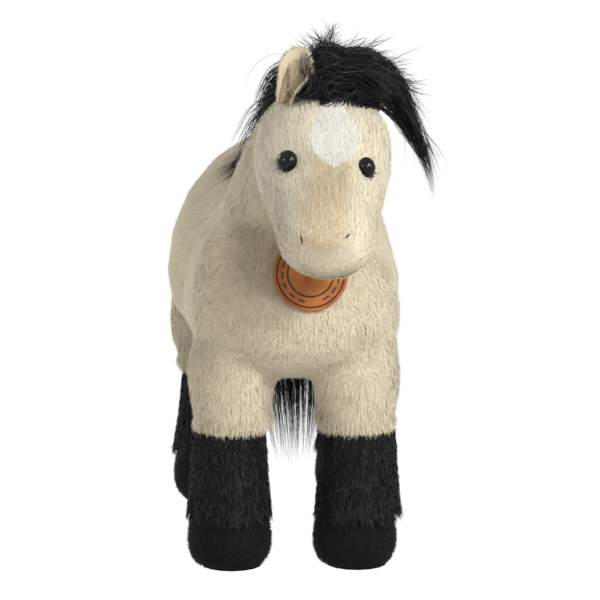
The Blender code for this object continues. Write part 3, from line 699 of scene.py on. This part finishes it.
# How wide the star is down its height, as shares of its widest place
STAR_SHARES = (0.0, 0.34, 0.56, 0.74, 0.90, 0.99, 1.0, 0.93, 0.78, 0.52, 0.0)
STAR_HALF_WIDTH = 13.8 * MM
STAR_EDGE = 2.0 * MM
STAR_LEAN = 2.8 * MM
star_low, star_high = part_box("forehead_star")
star_middle_x = (star_low.x + star_high.x) / 2


def in_star(places):
    """1 where a root's tip ends well inside the star, 0 well outside, between along its edge."""
    tips = places + unit(places - NOSE) * STAR_LEAN
    down = (star_high.z + STAR_EDGE - tips[:, 2]) / (star_high.z + STAR_EDGE - star_low.z)
    half = np.interp(down, np.linspace(0, 1, len(STAR_SHARES)), STAR_SHARES, 0, 0) * STAR_HALF_WIDTH
    return fade(np.abs(places[:, 0] - star_middle_x) - half, -STAR_EDGE, STAR_EDGE) * (half > 0)


def distance_to_line(places, start, end):
    line = end - start
    share = np.clip(((places - start) @ line) / (line @ line), 0, 1)
    return np.linalg.norm(places - start - share[:, None] * line, axis=1)


def pile_length(panel, places):
    """Shares of the coat's length: short on the face, long where it hangs over a stocking."""
    length = np.ones(len(places))
    if panel == "head_plush":
        length -= 0.22
    for seat, _ in eye_frames.values():
        length -= 0.25 * near_spot(places, seat, 8 * MM, 13 * MM)
    for spot in NOSTRIL_SPOTS:
        length -= 0.30 * near_spot(places, spot, 2 * MM, 5 * MM)
    return length + 0.30 * over_stocking(panel, places)


def over_stocking(panel, places):
    """1 where a leg's coat hangs over the top of its stocking, 0 from 7 mm above it."""
    if "leg" not in panel:
        return np.zeros(len(places))
    low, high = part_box(panel.replace("leg_plush", "stocking"))
    # The hem is sewn on a little aslant, lower on the outer side of the leg
    slope = 0.11 if "right" in panel else -0.05
    hem = high.z + slope * (places[:, 0] - (low.x + high.x) / 2)
    return fade(np.abs(places[:, 2] - hem - 4.5 * MM), 2 * MM, 7 * MM)


def sections_of(panel, centres):
    """The torso's pile comes in five widths of cloth, and each other panel's in one."""
    if panel != "torso_plush":
        return {panel.replace("plush", "pile"): np.ones(len(centres), bool)}
    chest = centres[:, 1] < -0.045
    rump = centres[:, 1] > 0.055
    left = centres[:, 0] > -0.004
    return {
        "chest_pile": chest,
        "left_flank_pile": ~chest & ~rump & left,
        "right_flank_pile": ~chest & ~rump & ~left,
        "left_rump_pile": rump & left,
        "right_rump_pile": rump & ~left,
    }


# %% The coat's pile
COAT_PER_MM2 = 2.5
COAT_PILE = 6.4 * MM
COAT_BLADE = 0.32 * MM
EYE_HOLE = 5.6 * MM
seed = 10
for index, panel in enumerate(panel_names):
    for name, chosen in sections_of(panel, centres).items():
        mine = (panel_of == index) & chosen
        seed += 1
        places, ups = scatter(points[mine], normals[mine], areas[mine], COAT_PER_MM2, seed)
        if panel == "head_plush":
            star = in_star(places) * (places[:, 1] < HEAD_MIDDLE[1])
            keep = star < rng(12).random(len(places))
            for seat, _ in eye_frames.values():
                keep &= np.linalg.norm(places - seat, axis=1) > EYE_HOLE
            places, ups = places[keep], ups[keep]
        ways = unit(comb_of(panel, places, ups))
        sideways = np.cross(ups, ways)
        sway = 0.30 * ripple(places, 26, 5) + 0.16 * ripple(places, 7, 6)
        ways = ways + sideways * sway[:, None]
        for tuft in SEAM_TUFTS:
            off = places - tuft
            span = np.linalg.norm(off, axis=1, keepdims=True)
            ways = ways + unit(off) * fade(span, 2 * MM, 22 * MM) * 1.3
        tones = 0.5 + 0.13 * ripple(places, 4, 7) + 0.14 * ripple(places, 12, 8)
        tones += rng(9).normal(0, 0.10, len(places))
        on_head = panel == "head_plush"
        tint = fade(distance_to_line(places, FACE_TOP, FACE_LOW), 6 * MM, 21 * MM) * on_head
        hang = over_stocking(panel, places)
        length = COAT_PILE * pile_length(panel, places)
        places = places + ups * (hang * 2.0 * MM)[:, None]
        lift = (36.0 if on_head else 42.0) + 6.0 * hang
        finish = face_pile if on_head else buckskin_pile
        plant(name, places, ups, ways, length, COAT_BLADE, lift, 0.36, tones, seed + 20,
              finish, clump=0.8 * MM, tint=tint)

# %% [markdown]
# The stockings are a longer, shaggier black pile, sewn round the shins and hanging over the hooves.
# The hooves are a short black velour. Both are grown as the coat is, with their own blade sizes.

# %% Stockings and hooves
black_pile = pile_material(
    "black_pile", (0.002, 0.002, 0.003), (0.017, 0.0165, 0.018),
    contrast=1.3, roughness=0.6, sheen=0.02)
black_velour = pile_material(
    "black_velour", (0.003, 0.003, 0.004), (0.009, 0.0085, 0.010),
    contrast=0.6, roughness=0.8, sheen=0.03)
black_cloth = yarn_material("black_cloth", (0.006, 0.006, 0.007), 0.9, 320.0)
set_specular(0.15, black_pile, black_velour, black_cloth)


def dark_tones(places, seed):
    """Mostly dull fibres, and a painted glint: one fibre in nine is painted much paler."""
    chance = rng(seed)
    tones = 0.42 + 0.16 * ripple(places, 4, seed + 1) + chance.normal(0, 0.20, len(places))
    # Painted glints: about one fibre in nine is made much paler.
    return tones + 2.4 * (chance.random(len(places)) < 0.11)


def set_on_leg(piece, middle, wider, aside):
    """Widens a piece about its leg's middle line and sets it a little aside."""
    for vertex in piece.data.vertices:
        vertex.co.x = middle[0] + (vertex.co.x - middle[0]) * wider + aside
    piece.data.update()


def outside_of(points, normals, areas, middle):
    """Only the triangles that face away from a leg's upright middle line."""
    centres = points.mean(axis=1)
    away = unit((centres - middle) * (1.0, 1.0, 0.0))
    keep = (away * normals.mean(axis=1)).sum(axis=1) > -0.25
    return points[keep], normals[keep], areas[keep]


STOCKING_PER_MM2 = 1.5
HOOF_PER_MM2 = 1.3
# How far the stocking and the hoof of a leg sit aside of the leg's middle
LEG_ASIDE = {
    "front_left": (0.8 * MM, -1.0 * MM), "front_right": (-1.4 * MM, -1.2 * MM),
    "hind_left": (2.4 * MM, 2.0 * MM), "hind_right": (0.8 * MM, 0.8 * MM),
}
for number, leg in enumerate(LEGS):
    low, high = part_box(leg + "_stocking")
    middle = np.array((low + high) / 2)
    stocking_aside, hoof_aside = LEG_ASIDE[leg]
    cloth = remeshed_skin(leg + "_stocking_cloth", (leg + "_stocking",), 1.6 * MM, 2, 1.6 * MM)
    set_on_leg(cloth, middle, 0.96 if leg == "front_right" else 0.98, stocking_aside)
    dress(cloth, black_cloth)
    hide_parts(leg + "_stocking")
    places, ups = scatter(*outside_of(*triangles_of(cloth), middle), STOCKING_PER_MM2, 40 + number)
    hem = np.clip(1 - (places[:, 2] - low.z) / (9 * MM), 0, 1)
    top = fade(high.z - places[:, 2], 2 * MM, 12 * MM)
    ways = np.zeros_like(places) + (0.0, 0.0, -1.0)
    ways += np.cross(ups, ways) * ripple(places, 16, 41)[:, None] * 0.5
    length = (5.4 + 2.6 * hem - 2.2 * top) * MM
    tones = dark_tones(places, 50 + number)
    plant(leg + "_stocking_pile", places, ups, ways, length, 0.40 * MM, 36.0 - 12.0 * hem, 0.34,
          tones, 60 + number, black_pile, clump=1.2 * MM, turn=0.8)

    hoof_form = (leg + "_hoof", leg + "_leg_filling", leg + "_sole")
    hoof = remeshed_skin(leg + "_hoof_velour", hoof_form, 2.0 * MM, 6, 0.9 * MM)
    cut_below(hoof, HOOF_CUT_HEIGHT, keep_below=True)
    set_on_leg(hoof, middle, 1.04, hoof_aside)
    dress(hoof, black_cloth)
    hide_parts(leg + "_hoof")
    places, ups = scatter(*outside_of(*triangles_of(hoof), middle), HOOF_PER_MM2, 70 + number)
    keep = places[:, 2] > 1.5 * MM
    places, ups = places[keep], ups[keep]
    ways = np.zeros_like(places) + (0.0, 0.0, -1.0)
    tones = dark_tones(places, 80 + number)
    plant(leg + "_hoof_nap", places, ups, ways, 2.2 * MM, 0.32 * MM, 60.0, 0.35,
          tones, 90 + number, black_velour, turn=0.8)

# %% [markdown]
# Mane, forelock and tail are long straight synthetic hair. Each strand is a thin ribbon that follows
# its own line: a lock bends along the line of its guide, and the mane falls from the crest and slides
# down over the neck.

# %% Ribbons of hair
hair_material = pile_material(
    "black_hair", (0.003, 0.003, 0.004), (0.009, 0.0085, 0.010),
    contrast=1.0, roughness=0.42, sheen=0.0)
set_specular(0.16, hair_material)


def ribbons(name, lines, width, seed, body="horse"):
    """A tapering ribbon of hair along each line. lines is strands x points x 3."""
    chance = rng(seed)
    count, steps = lines.shape[0], lines.shape[1] - 1
    along = np.linspace(0, 1, steps + 1)
    forward = unit(np.gradient(lines, axis=1))
    aside = unit(np.cross(forward, chance.normal(size=(count, 1, 3))))
    taper = 0.5 * (1 - along**3)[None, :, None]
    half = (width * chance.uniform(0.7, 1.2, count))[:, None, None] * taper
    points = np.empty((count, 2 * steps + 1, 3))
    points[:, 0:-1:2] = (lines - aside * half)[:, :-1]
    points[:, 1:-1:2] = (lines + aside * half)[:, :-1]
    points[:, -1] = lines[:, -1]
    faces = [[2 * i, 2 * i + 1, 2 * i + 3, 2 * i + 2] for i in range(steps - 1)]
    faces.append([2 * steps - 2, 2 * steps - 1, 2 * steps])
    side = np.append(np.tile([-0.5, 0.5], steps), 0.0)
    share = np.append(np.repeat(along[:-1], 2), 1.0)
    marks = {"along": 0.2 + 0.6 * share[None], "tone": chance.normal(0.5, 0.3, count)[:, None]}
    piece = mesh_piece(name, points, faces, None, marks, cell_map(count, side, share))
    print(name, "has", count, "strands")
    return dress(piece, hair_material, body)


def along_route(stations, share):
    """A smooth curve through stations, each a row of numbers in mm, at shares from 0 to 1."""
    stations = np.array(stations) * MM
    last = len(stations) - 1
    place = np.clip(share, 0, 1) * last
    i = np.minimum(place.astype(int), last - 1)
    f = (place - i)[..., None]
    a, b, c, d = (stations[np.clip(i + k, 0, last)] for k in (-1, 0, 1, 2))
    return b + 0.5 * f * (c - a + f * (2 * a - 5 * b + 4 * c - d + f * (3 * (b - c) + d - a)))


# %% Forelock
# Middle of the lock, then its half depth, and how far it reaches above and below
FORELOCK_ROUTE = (
    (-9.4, -117.5, 296.5, 3.0, 2.2, 2.2),
    (-0.9, -108.0, 298.3, 11.0, 7.2, 8.0),
    (6.7, -98.0, 305.0, 20.0, 18.0, 18.5),
    (19.1, -88.6, 301.7, 28.0, 17.2, 17.2),
    (33.0, -81.5, 300.0, 28.0, 17.2, 17.2),
    (46.0, -77.5, 293.9, 23.0, 12.6, 12.0),
    (56.4, -74.5, 280.2, 18.0, 7.2, 7.0),
    (63.4, -73.5, 265.6, 14.0, 4.4, 4.2),
    (69.6, -72.0, 252.6, 10.0, 2.8, 2.6),
    (74.3, -71.0, 239.0, 6.0, 2.0, 1.8),
    (77.2, -70.5, 222.0, 3.0, 1.0, 1.0),
)


DEPTH = np.array([0.0, 1.0, 0.0])


def ways_along(route, share):
    """A route's stations at these shares, and the ways that lead forward and up from them."""
    step = along_route(route, share + 0.02) - along_route(route, share - 0.02)
    forward = unit(step[..., :3])
    above = unit(np.cross(forward, DEPTH))
    return along_route(route, share), forward, above * np.sign(above[..., 2:3] + 1e-9)


def lock(route, count, starts, ends, spray, steps, seed, locks=0):
    """Strands that run along a route, evenly through it or drawn together into a few thin locks."""
    chance = rng(seed)
    begin = chance.uniform(*starts, count)
    finish = begin + (chance.uniform(*ends, count) - begin) * chance.uniform(0.75, 1.0, count)
    s = np.linspace(0, 1, steps + 1)[None]
    share = begin[:, None] + (finish - begin)[:, None] * s
    at, _, above = ways_along(route, share)
    angle = chance.uniform(0, 2 * math.pi, count)
    reach = np.sqrt(chance.uniform(0, 1, count))
    u, v = reach * np.cos(angle), reach * np.sin(angle)
    if locks:
        which = chance.integers(0, locks, count)
        middles = np.stack([chance.uniform(-0.9, 0.9, locks), np.linspace(-0.92, 0.92, locks)])
        u, v = middles[:, which] + 0.075 * np.stack([u, v])
    rise = np.clip(s * 3.0, 0, 1)
    v = -0.9 + (v[:, None] + 0.9) * rise
    tall = np.where(v > 0, at[..., 4], at[..., 5])
    lines = at[..., :3] + DEPTH * (at[..., 3] * u[:, None])[..., None] + above * (tall * v)[..., None]
    loose = unit(chance.normal(size=(count, 3))) * spray * chance.exponential(1.0, count)[:, None]
    lines += loose[:, None] * (s**1.8)[..., None]
    bend = unit(chance.normal(size=(count, 3))) * 0.0018
    lines += bend[:, None] * np.sin(s * math.pi * 2.2)[..., None]
    return lines


def pushed_out(point, tree, clearance):
    """The point itself, or the nearest one that stands clear of a solid."""
    spot, normal, _, _ = tree.find_nearest(Vector(point))
    if (Vector(point) - spot).dot(normal) < clearance:
        return spot + normal * clearance
    return point


def wisps(route, count, starts, rise, fall, lengths, steps, seed):
    """Loose strands that leave the upper side of a lock, fly on and bend down towards their tips."""
    chance = rng(seed)
    share = chance.uniform(*starts, count)
    at, forward, above = ways_along(route, share)
    roots = at[:, :3] + above * at[:, 4:5] * chance.uniform(0.1, 0.95, (count, 1))
    roots += DEPTH * at[:, 3:4] * chance.uniform(-0.8, 0.8, (count, 1))
    ways = forward + above * chance.uniform(*rise, (count, 1))
    ways = unit(ways + chance.normal(0, 0.16, (count, 3)))
    reach = (chance.uniform(*lengths, count) * MM)[:, None, None]
    s = np.linspace(0, 1, steps + 1)[None, :, None]
    droop = chance.uniform(*fall, count)[:, None, None] * (0.0, 0.0, -1.0)
    return roots[:, None] + reach * (ways[:, None] * s + droop * s**2)


head_tree = tree_of("head_cover", "neck_cover")
forelock_lines = np.concatenate([
    lock(FORELOCK_ROUTE, 2600, (0.01, 0.44), (0.34, 0.60), 1.8 * MM, 10, 100),
    lock(FORELOCK_ROUTE, 560, (0.15, 0.50), (0.72, 1.02), 1.3 * MM, 10, 101, locks=9),
    wisps(FORELOCK_ROUTE, 260, (0.20, 0.55), (0.4, 1.5), (0.0, 0.35), (10, 22), 10, 105),
    wisps(FORELOCK_ROUTE, 220, (0.45, 0.72), (-0.1, 0.4), (0.4, 0.8), (12, 24), 10, 106),
])
FORELOCK_CLEARANCE = 2.0 * MM
for strand in forelock_lines:
    for point in strand[1:]:
        point[:] = pushed_out(point, head_tree, FORELOCK_CLEARANCE)
forelock_hair = ribbons("forelock_hair", forelock_lines, 0.40 * MM, 102)
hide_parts("forelock")

# %% The tuft that stands up behind the ear
TUFT_ROUTE = (
    (6.0, -85.0, 298.0, 11.0, 11.0, 11.0),
    (9.5, -83.5, 309.0, 9.0, 9.5, 9.5),
    (13.5, -82.5, 319.0, 6.0, 6.0, 6.0),
    (16.5, -82.0, 329.0, 3.0, 3.0, 3.0),
)
tuft_lines = np.concatenate([
    lock(TUFT_ROUTE, 480, (0.0, 0.3), (0.50, 1.0), 2.6 * MM, 10, 103),
    wisps(TUFT_ROUTE, 110, (0.2, 0.9), (-0.6, 1.0), (0.0, 0.2), (5, 11), 10, 107),
    wisps(TUFT_ROUTE, 60, (0.1, 0.7), (0.8, 3.0), (0.0, 0.3), (10, 20), 10, 108),
])
ribbons("tuft_hair", tuft_lines, 0.36 * MM, 104)

# %% Mane
CREST = (
    (-8.5, 48.0, 227.0),
    (-8.5, 18.5, 244.0),
    (-4.5, -4.5, 266.0),
    (0.5, -27.5, 290.0),
    (5.0, -56.0, 302.0),
    (7.0, -76.0, 300.0),
)
neck_tree = tree_of("neck_cover", "torso_cover", "head_cover")


def falling(roots, ways, lengths, steps, weight, tree, clearance):
    """Strands that set out along their ways, bend under their weight and slide over a solid."""
    count = len(roots)
    lines = np.empty((count, steps + 1, 3))
    lines[:, 0] = roots
    step = (lengths / steps)[:, None]
    heading = unit(ways)
    for k in range(1, steps + 1):
        heading = unit(heading + (0.0, 0.0, -weight))
        following = lines[:, k - 1] + heading * step
        for i, point in enumerate(following):
            following[i] = pushed_out(point, tree, clearance[i])
        heading = unit(following - lines[:, k - 1])
        lines[:, k] = lines[:, k - 1] + heading * step
    return lines


chance = rng(110)
MANE_COUNT = 3600
share = chance.uniform(0, 1, MANE_COUNT)
MANE_SPREAD = (2.6 * MM, 2.0 * MM, 1.2 * MM)
roots = along_route(CREST, share) + chance.normal(0, 1.0, (MANE_COUNT, 3)) * MANE_SPREAD
side = np.where(chance.random(MANE_COUNT) < 0.62, -1.0, 1.0)
ways = np.stack([
    side * chance.uniform(0.4, 1.1, MANE_COUNT),
    chance.normal(0.35, 0.25, MANE_COUNT),
    chance.uniform(0.1, 0.9, MANE_COUNT),
], axis=1)
lengths = chance.uniform(28, 52, MANE_COUNT) * MM
clearance = (1.2 + np.minimum(chance.exponential(1.5, MANE_COUNT), 4.5)) * MM
mane_lines = falling(roots, ways, lengths, 9, 0.34, neck_tree, clearance)
mane_hair = ribbons("mane_hair", mane_lines, 0.45 * MM, 111)
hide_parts("mane")

# %% [markdown]
# The forelock hides the left ear. A rigid lock would show the ear through it, so more strands start
# inside the lock and are let fall over the ear, where they slide down it until they hang free.

# %% Hair that the forelock drapes over the left ear
ear_low, ear_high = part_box("left_ear")
chance = rng(112)
DRAPE_COUNT = 700
roots = np.stack([
    chance.uniform(ear_low.x - 16 * MM, ear_low.x + 2 * MM, DRAPE_COUNT),
    chance.uniform(ear_low.y - 4 * MM, ear_high.y + 6 * MM, DRAPE_COUNT),
    np.full(DRAPE_COUNT, ear_high.z - 4 * MM),
], axis=1)
ways = np.stack([
    chance.uniform(0.6, 1.0, DRAPE_COUNT),
    chance.normal(-0.1, 0.3, DRAPE_COUNT),
    chance.uniform(0.1, 0.6, DRAPE_COUNT),
], axis=1)
clearance = chance.uniform(2.4, 4.4, DRAPE_COUNT) * MM
lengths = chance.uniform(20, 32, DRAPE_COUNT) * MM
drape_lines = falling(roots, ways, lengths, 12, 0.16, tree_of("left_ear", "head_cover"), clearance)
ribbons("forelock_drape_hair", drape_lines, 0.42 * MM, 113)

# %% [markdown]
# The tail hangs from a short sewn root. It turns about that root, so its hair rides the tail, and
# the cloth and fluff of the root ride the root's own body.

# %% Tail
TAIL_ROUTE = (
    (-7.5, 151.0, 196.0, 5.0, 5.0, 5.0),
    (-6.5, 164.0, 166.0, 9.0, 15.0, 15.0),
    (-4.0, 170.0, 128.0, 11.0, 20.0, 20.0),
    (-1.0, 170.0, 85.0, 11.0, 20.0, 20.0),
    (1.0, 169.0, 45.0, 9.5, 17.0, 17.0),
    (1.8, 168.0, 8.0, 6.0, 11.0, 11.0),
)
tail_lines = np.concatenate([
    lock(TAIL_ROUTE, 1100, (0.0, 0.08), (0.45, 0.78), 3.2 * MM, 12, 120),
    lock(TAIL_ROUTE, 1700, (0.0, 0.08), (0.80, 1.04), 2.0 * MM, 12, 122, locks=9),
])
tail_hair = ribbons("tail_hair", tail_lines, 0.46 * MM, 121, "tail")
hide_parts("tail")

# %% Tail root, fluffed like the rest
TAIL_ROOT_PER_MM2 = 2.2
stub = remeshed_skin("tail_stub_cloth", ("tail_stub",), 1.0 * MM, 2, 0.3 * MM)
dress(stub, black_cloth, "tail_root")
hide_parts("tail_stub")
places, ups = scatter(*triangles_of(stub), TAIL_ROOT_PER_MM2, 125)
tones = 0.5 + rng(126).normal(0, 0.3, len(places))
ways = np.zeros_like(places) + (0.0, 0.5, -1.0)
plant("tail_root_fluff", places, ups, ways, 8.0 * MM, 0.42 * MM, 26.0, 0.20,
      tones, 127, hair_material, "tail_root", turn=0.8)

# %% [markdown]
# The ears are two leaves of cloth sewn back to back: coat pile outside, shorter tan pile inside. They
# are small, so their remesh is finer, and their pile is short enough to keep the leaf's crisp rim.

# %% Ears
tan_pile = pile_material(
    "tan_pile", (0.36, 0.27, 0.17), (0.56, 0.43, 0.29), tint=(0.82, 0.72, 0.52), contrast=0.85)
tan_cloth = yarn_material("tan_cloth", (0.36, 0.27, 0.17), 0.95, 320.0)
EAR_PER_MM2 = 2.6
EAR_CREASE_SHARE = 0.34


def shape_ear(leaf, side_name, low, high):
    """The right ear opens wide above a narrow base. The left one is pressed back by the forelock."""
    middle_x = (low.x + high.x) / 2
    for vertex in leaf.data.vertices:
        height = (vertex.co.z - low.z) / (high.z - low.z)
        if side_name == "left":
            vertex.co += Vector((-3.4, 5.0, -1.5)) * MM
            continue
        narrow = fade(height, -0.05, 0.70)
        vertex.co.x = middle_x + (vertex.co.x - middle_x) * (1.26 - 0.86 * narrow)
        vertex.co.x += (3.0 * fade(abs(height - 0.45), 0.0, 0.45) - 1.0 - 2.2 * narrow) * MM
        vertex.co.z -= 3.0 * MM * fade(height, 0.0, 0.3)
    leaf.data.update()


for number, side_name in enumerate(("left", "right")):
    ear_low, ear_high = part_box(side_name + "_ear")
    for node, cloth_finish, finish, slot_name, reach in (
        (side_name + "_ear", buckskin_cloth, buckskin_pile, "buckskin_plush", 2.8 * MM),
        (side_name + "_ear_lining", tan_cloth, tan_pile, "tan_plush", 1.8 * MM),
    ):
        leaf = remeshed_skin(node + "_cloth", (node,), 0.8 * MM, 4, 0.3 * MM)
        shape_ear(leaf, side_name, ear_low, ear_high)
        dress(leaf, cloth_finish)
        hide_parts(node)
        places, ups = scatter(*triangles_of(leaf), EAR_PER_MM2, 130 + number)
        ways = unit(places - HEAD_MIDDLE)
        tones = 0.5 + 0.12 * ripple(places, 4, 7)
        tones += rng(131).normal(0, 0.1, len(places))
        across = (places[:, 0] - places[:, 0].min()) / np.ptp(places[:, 0])
        # Painted shade in the fold: the lining's tones are darker along its crease.
        if finish is tan_pile:
            tones -= 0.8 * np.exp(-((across - EAR_CREASE_SHARE) / 0.07) ** 2)
        tint = 1 - fade(across, EAR_CREASE_SHARE, EAR_CREASE_SHARE + 0.12)
        plant(node + "_pile", places, ups, ways, reach, 0.34 * MM, 38.0, 0.30,
              tones, 132 + number, finish, tint=tint * (finish is tan_pile))

# %% [markdown]
# The star is a patch of white pile let into the forehead, shaved shorter than the coat round it.

# %% Forehead star
STAR_PER_MM2 = 2.2 * COAT_PER_MM2
white_pile = pile_material("white_pile", (0.74, 0.73, 0.65), (0.86, 0.86, 0.77), contrast=0.14)
face = (panel_of == panel_names.index("head_plush")) & (centres[:, 1] < HEAD_MIDDLE[1])
face &= in_star(centres) > 0
places, ups = scatter(points[face], normals[face], areas[face], STAR_PER_MM2, 140)
keep = in_star(places) > rng(143).random(len(places))
places, ups = places[keep], ups[keep]
tones = 0.5 + 0.1 * ripple(places, 5, 141)
ways = unit(places - NOSE)
star_pile = plant("star_pile", places, ups, ways, 4.8 * MM, 0.36 * MM, 46.0, 0.36,
                  tones, 142, white_pile)
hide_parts("forehead_star")

# %% [markdown]
# The eyes are glossy black safety eyes: a moulded dome on a shank that a washer holds behind the
# cloth. A sphere flattened along the shank's own line gives the dome.

# %% Eyes
eye_finish = yarn_material("eye_black", (0.004, 0.0035, 0.004), 0.04, 900.0, variation=0.5, bump=0.004)
set_specular(0.22, eye_finish)
EYE_RADIUS = 6.3 * MM
EYE_SINK = 0.8 * MM
# The pile closes over the left eye's inner side, so less of its width shows
EYE_SHOWN = {"left": 0.86, "right": 1.0}
eye_frames = {side: (seat - axis * EYE_SINK, axis) for side, (seat, axis) in eye_frames.items()}
for side_name, (seat, axis) in eye_frames.items():
    shape = (EYE_SHOWN[side_name], 1.0, EYE_DOME / EYE_RADIUS)
    eye = ball(side_name + "_eye_dome", 48, EYE_RADIUS, shape, axis, seat)
    dress(eye, eye_finish)
    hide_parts(side_name + "_eye")

# %% Lashes: a few short dark fibres at the lower rim of each eye
LASH_COUNT = 34
for number, (side_name, (seat, axis)) in enumerate(eye_frames.items()):
    chance = rng(150 + number)
    up = unit(np.array([0.0, 0.0, 1.0]) - axis * axis[2])
    right = np.cross(up, axis)
    turn = np.radians(chance.uniform(-150, -30, LASH_COUNT))
    radial = right * np.cos(turn)[:, None] + up * np.sin(turn)[:, None]
    roots = seat + radial * EYE_RADIUS * 0.97 + axis * 0.5 * MM
    way = radial * chance.uniform(0.3, 0.9, (LASH_COUNT, 1)) + axis * 0.9
    way = unit(way + chance.normal(0, 0.15, (LASH_COUNT, 3)))
    reach = chance.uniform(1.6, 3.2, (LASH_COUNT, 1, 1)) * MM
    lines = roots[:, None] + way[:, None] * reach * np.linspace(0, 1, 4)[None, :, None]
    ribbons(side_name + "_eye_lashes", lines, 0.45 * MM, 152 + number)

# %% [markdown]
# The right nostril is one short stitch of black thread that lies in the pile. The left one is
# pulled deep, so that only a small dark mark shows.

# %% Nostril stitches
THREAD_SCALE = 900.0
thread_finish = yarn_material(
    "black_thread", (0.010, 0.010, 0.012), 0.7, THREAD_SCALE, variation=0.8, bump=0.5)
STITCH_THICK = 0.55 * MM
STITCH_TILT = 0.30
# Side, half its length, how proud it stands of the skin, and how far aside it sits
NOSTRILS = (("right", 3.2 * MM, 0.2 * MM, -2.4 * MM), ("left", 1.6 * MM, -6.0 * MM, 0.0))
for side_name, half_long, proud, aside in NOSTRILS:
    spots = node_spots(side_name + "_nostril_stitch")
    middle = spots.mean(axis=0)
    along_stitch = np.linalg.svd(spots - middle)[2][0]
    tilt = (STITCH_TILT if side_name == "right" else 0.0, 0.0, 0.0)
    along_stitch = unit(along_stitch * np.sign(along_stitch[2]) + tilt)
    middle[0] += aside
    spot, normal, _, _ = tree_of("head_cover").find_nearest(Vector(middle))
    shape = (STITCH_THICK, STITCH_THICK, half_long)
    stitch = ball(side_name + "_nostril_thread", 16, 1.0, shape, along_stitch, spot + normal * proud)
    dress(stitch, thread_finish)
    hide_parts(side_name + "_nostril_stitch")

# %% [markdown]
# The tag is a round of tan leather with two burnt rings and a circle of stitches. The CAD disc has
# the right shape, so it keeps it and gets the leather, and the rings and stitches are laid on it.

# %% Leather tag
def leather_material():
    material = new_material("tag_leather", (0.55, 0.24, 0.08), 0.72)
    set_specular(0.2, material)
    tree = material.node_tree
    grain = object_noise(tree, 2200.0, 4.0)
    wear = object_noise(tree, 110.0)
    both = maths(tree, "MULTIPLY_ADD", grain, 0.45, maths(tree, "MULTIPLY", wear, 0.60))
    ramp = add_node(tree, "ValToRGB", {"Fac": both})
    dark, pale = ramp.color_ramp.elements
    dark.position, dark.color = 0.30, (0.20, 0.058, 0.013, 1.0)
    pale.position, pale.color = 0.70, (0.48, 0.172, 0.046, 1.0)
    normal = relief(tree, grain, 0.35, 0.3 * MM)
    set_shader(material, {"Base Color": ramp.outputs["Color"], "Normal": normal})
    return material


TAG_RADIUS = 22.5 * MM
TAG_LEAN = math.radians(10.0)
tag_node = refinish("tag_disc", leather_material())
tag_out = Vector((0.0, -math.cos(TAG_LEAN), math.sin(TAG_LEAN)))
low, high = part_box("tag_disc")
tag_front = max(v.co.dot(tag_out) for v in tag_node.data.vertices)
tag_middle = (low + high) / 2
tag_middle += tag_out * (tag_front - tag_middle.dot(tag_out))
burnt = yarn_material("burnt_line", (0.020, 0.006, 0.004), 0.75, THREAD_SCALE, variation=0.8, bump=0.4)
tag_turn = tag_out.to_track_quat("Z", "Y")


def laid_on_tag(piece, name):
    bpy.ops.object.transform_apply(location=False, rotation=False, scale=True)
    piece.rotation_euler = tag_turn.to_euler()
    piece.location = tag_middle + (tag_turn @ piece.location)
    bpy.ops.object.transform_apply()
    bpy.ops.object.shade_smooth()
    piece.name = name
    dress(piece, burnt, "tag")


for name, share in (("tag_outer_ring", 0.895), ("tag_inner_ring", 0.61)):
    bpy.ops.mesh.primitive_torus_add(
        major_radius=TAG_RADIUS * share, minor_radius=0.50 * MM, major_segments=128, minor_segments=12)
    bpy.context.object.scale = (1.0, 1.0, 0.35)
    laid_on_tag(bpy.context.object, name)

STITCH_RADIUS = TAG_RADIUS * 0.755
STITCH_STEP = 22.7
STITCHES_EACH_SIDE = 6
stitches = []
for side, first in ((-1, 19.2), (1, 32.0)):
    for k in range(STITCHES_EACH_SIDE):
        turn = math.radians(side * (first + STITCH_STEP * k) - 90.0)
        bpy.ops.mesh.primitive_cube_add(size=1.0, location=(0, 0, 0))
        stitch = bpy.context.object
        stitch.scale = (1.0 * MM, 4.2 * MM, 0.4 * MM)
        stitch.rotation_euler = (0.0, 0.0, turn)
        stitch.location = Vector((math.cos(turn), math.sin(turn), 0.0)) * STITCH_RADIUS
        bpy.ops.object.transform_apply()
        modify(stitch, "BEVEL", width=0.14 * MM, segments=2)
        stitches.append(stitch)
pick(*stitches)
bpy.ops.object.join()
laid_on_tag(bpy.context.object, "tag_stitches")

# %% [markdown]
# The loop, the washers and the soles keep their CAD shape, and only get their finish.

# %% Finishes for what stays as it is
refinish("tag_loop", thread_finish)
washer_finish = yarn_material("washer_white", (0.70, 0.70, 0.68), 0.5, 500.0, variation=0.06, bump=0.1)
for side_name in ("left", "right"):
    refinish(side_name + "_eye_washer", washer_finish)
for leg in LEGS:
    refinish(leg + "_sole", black_cloth)
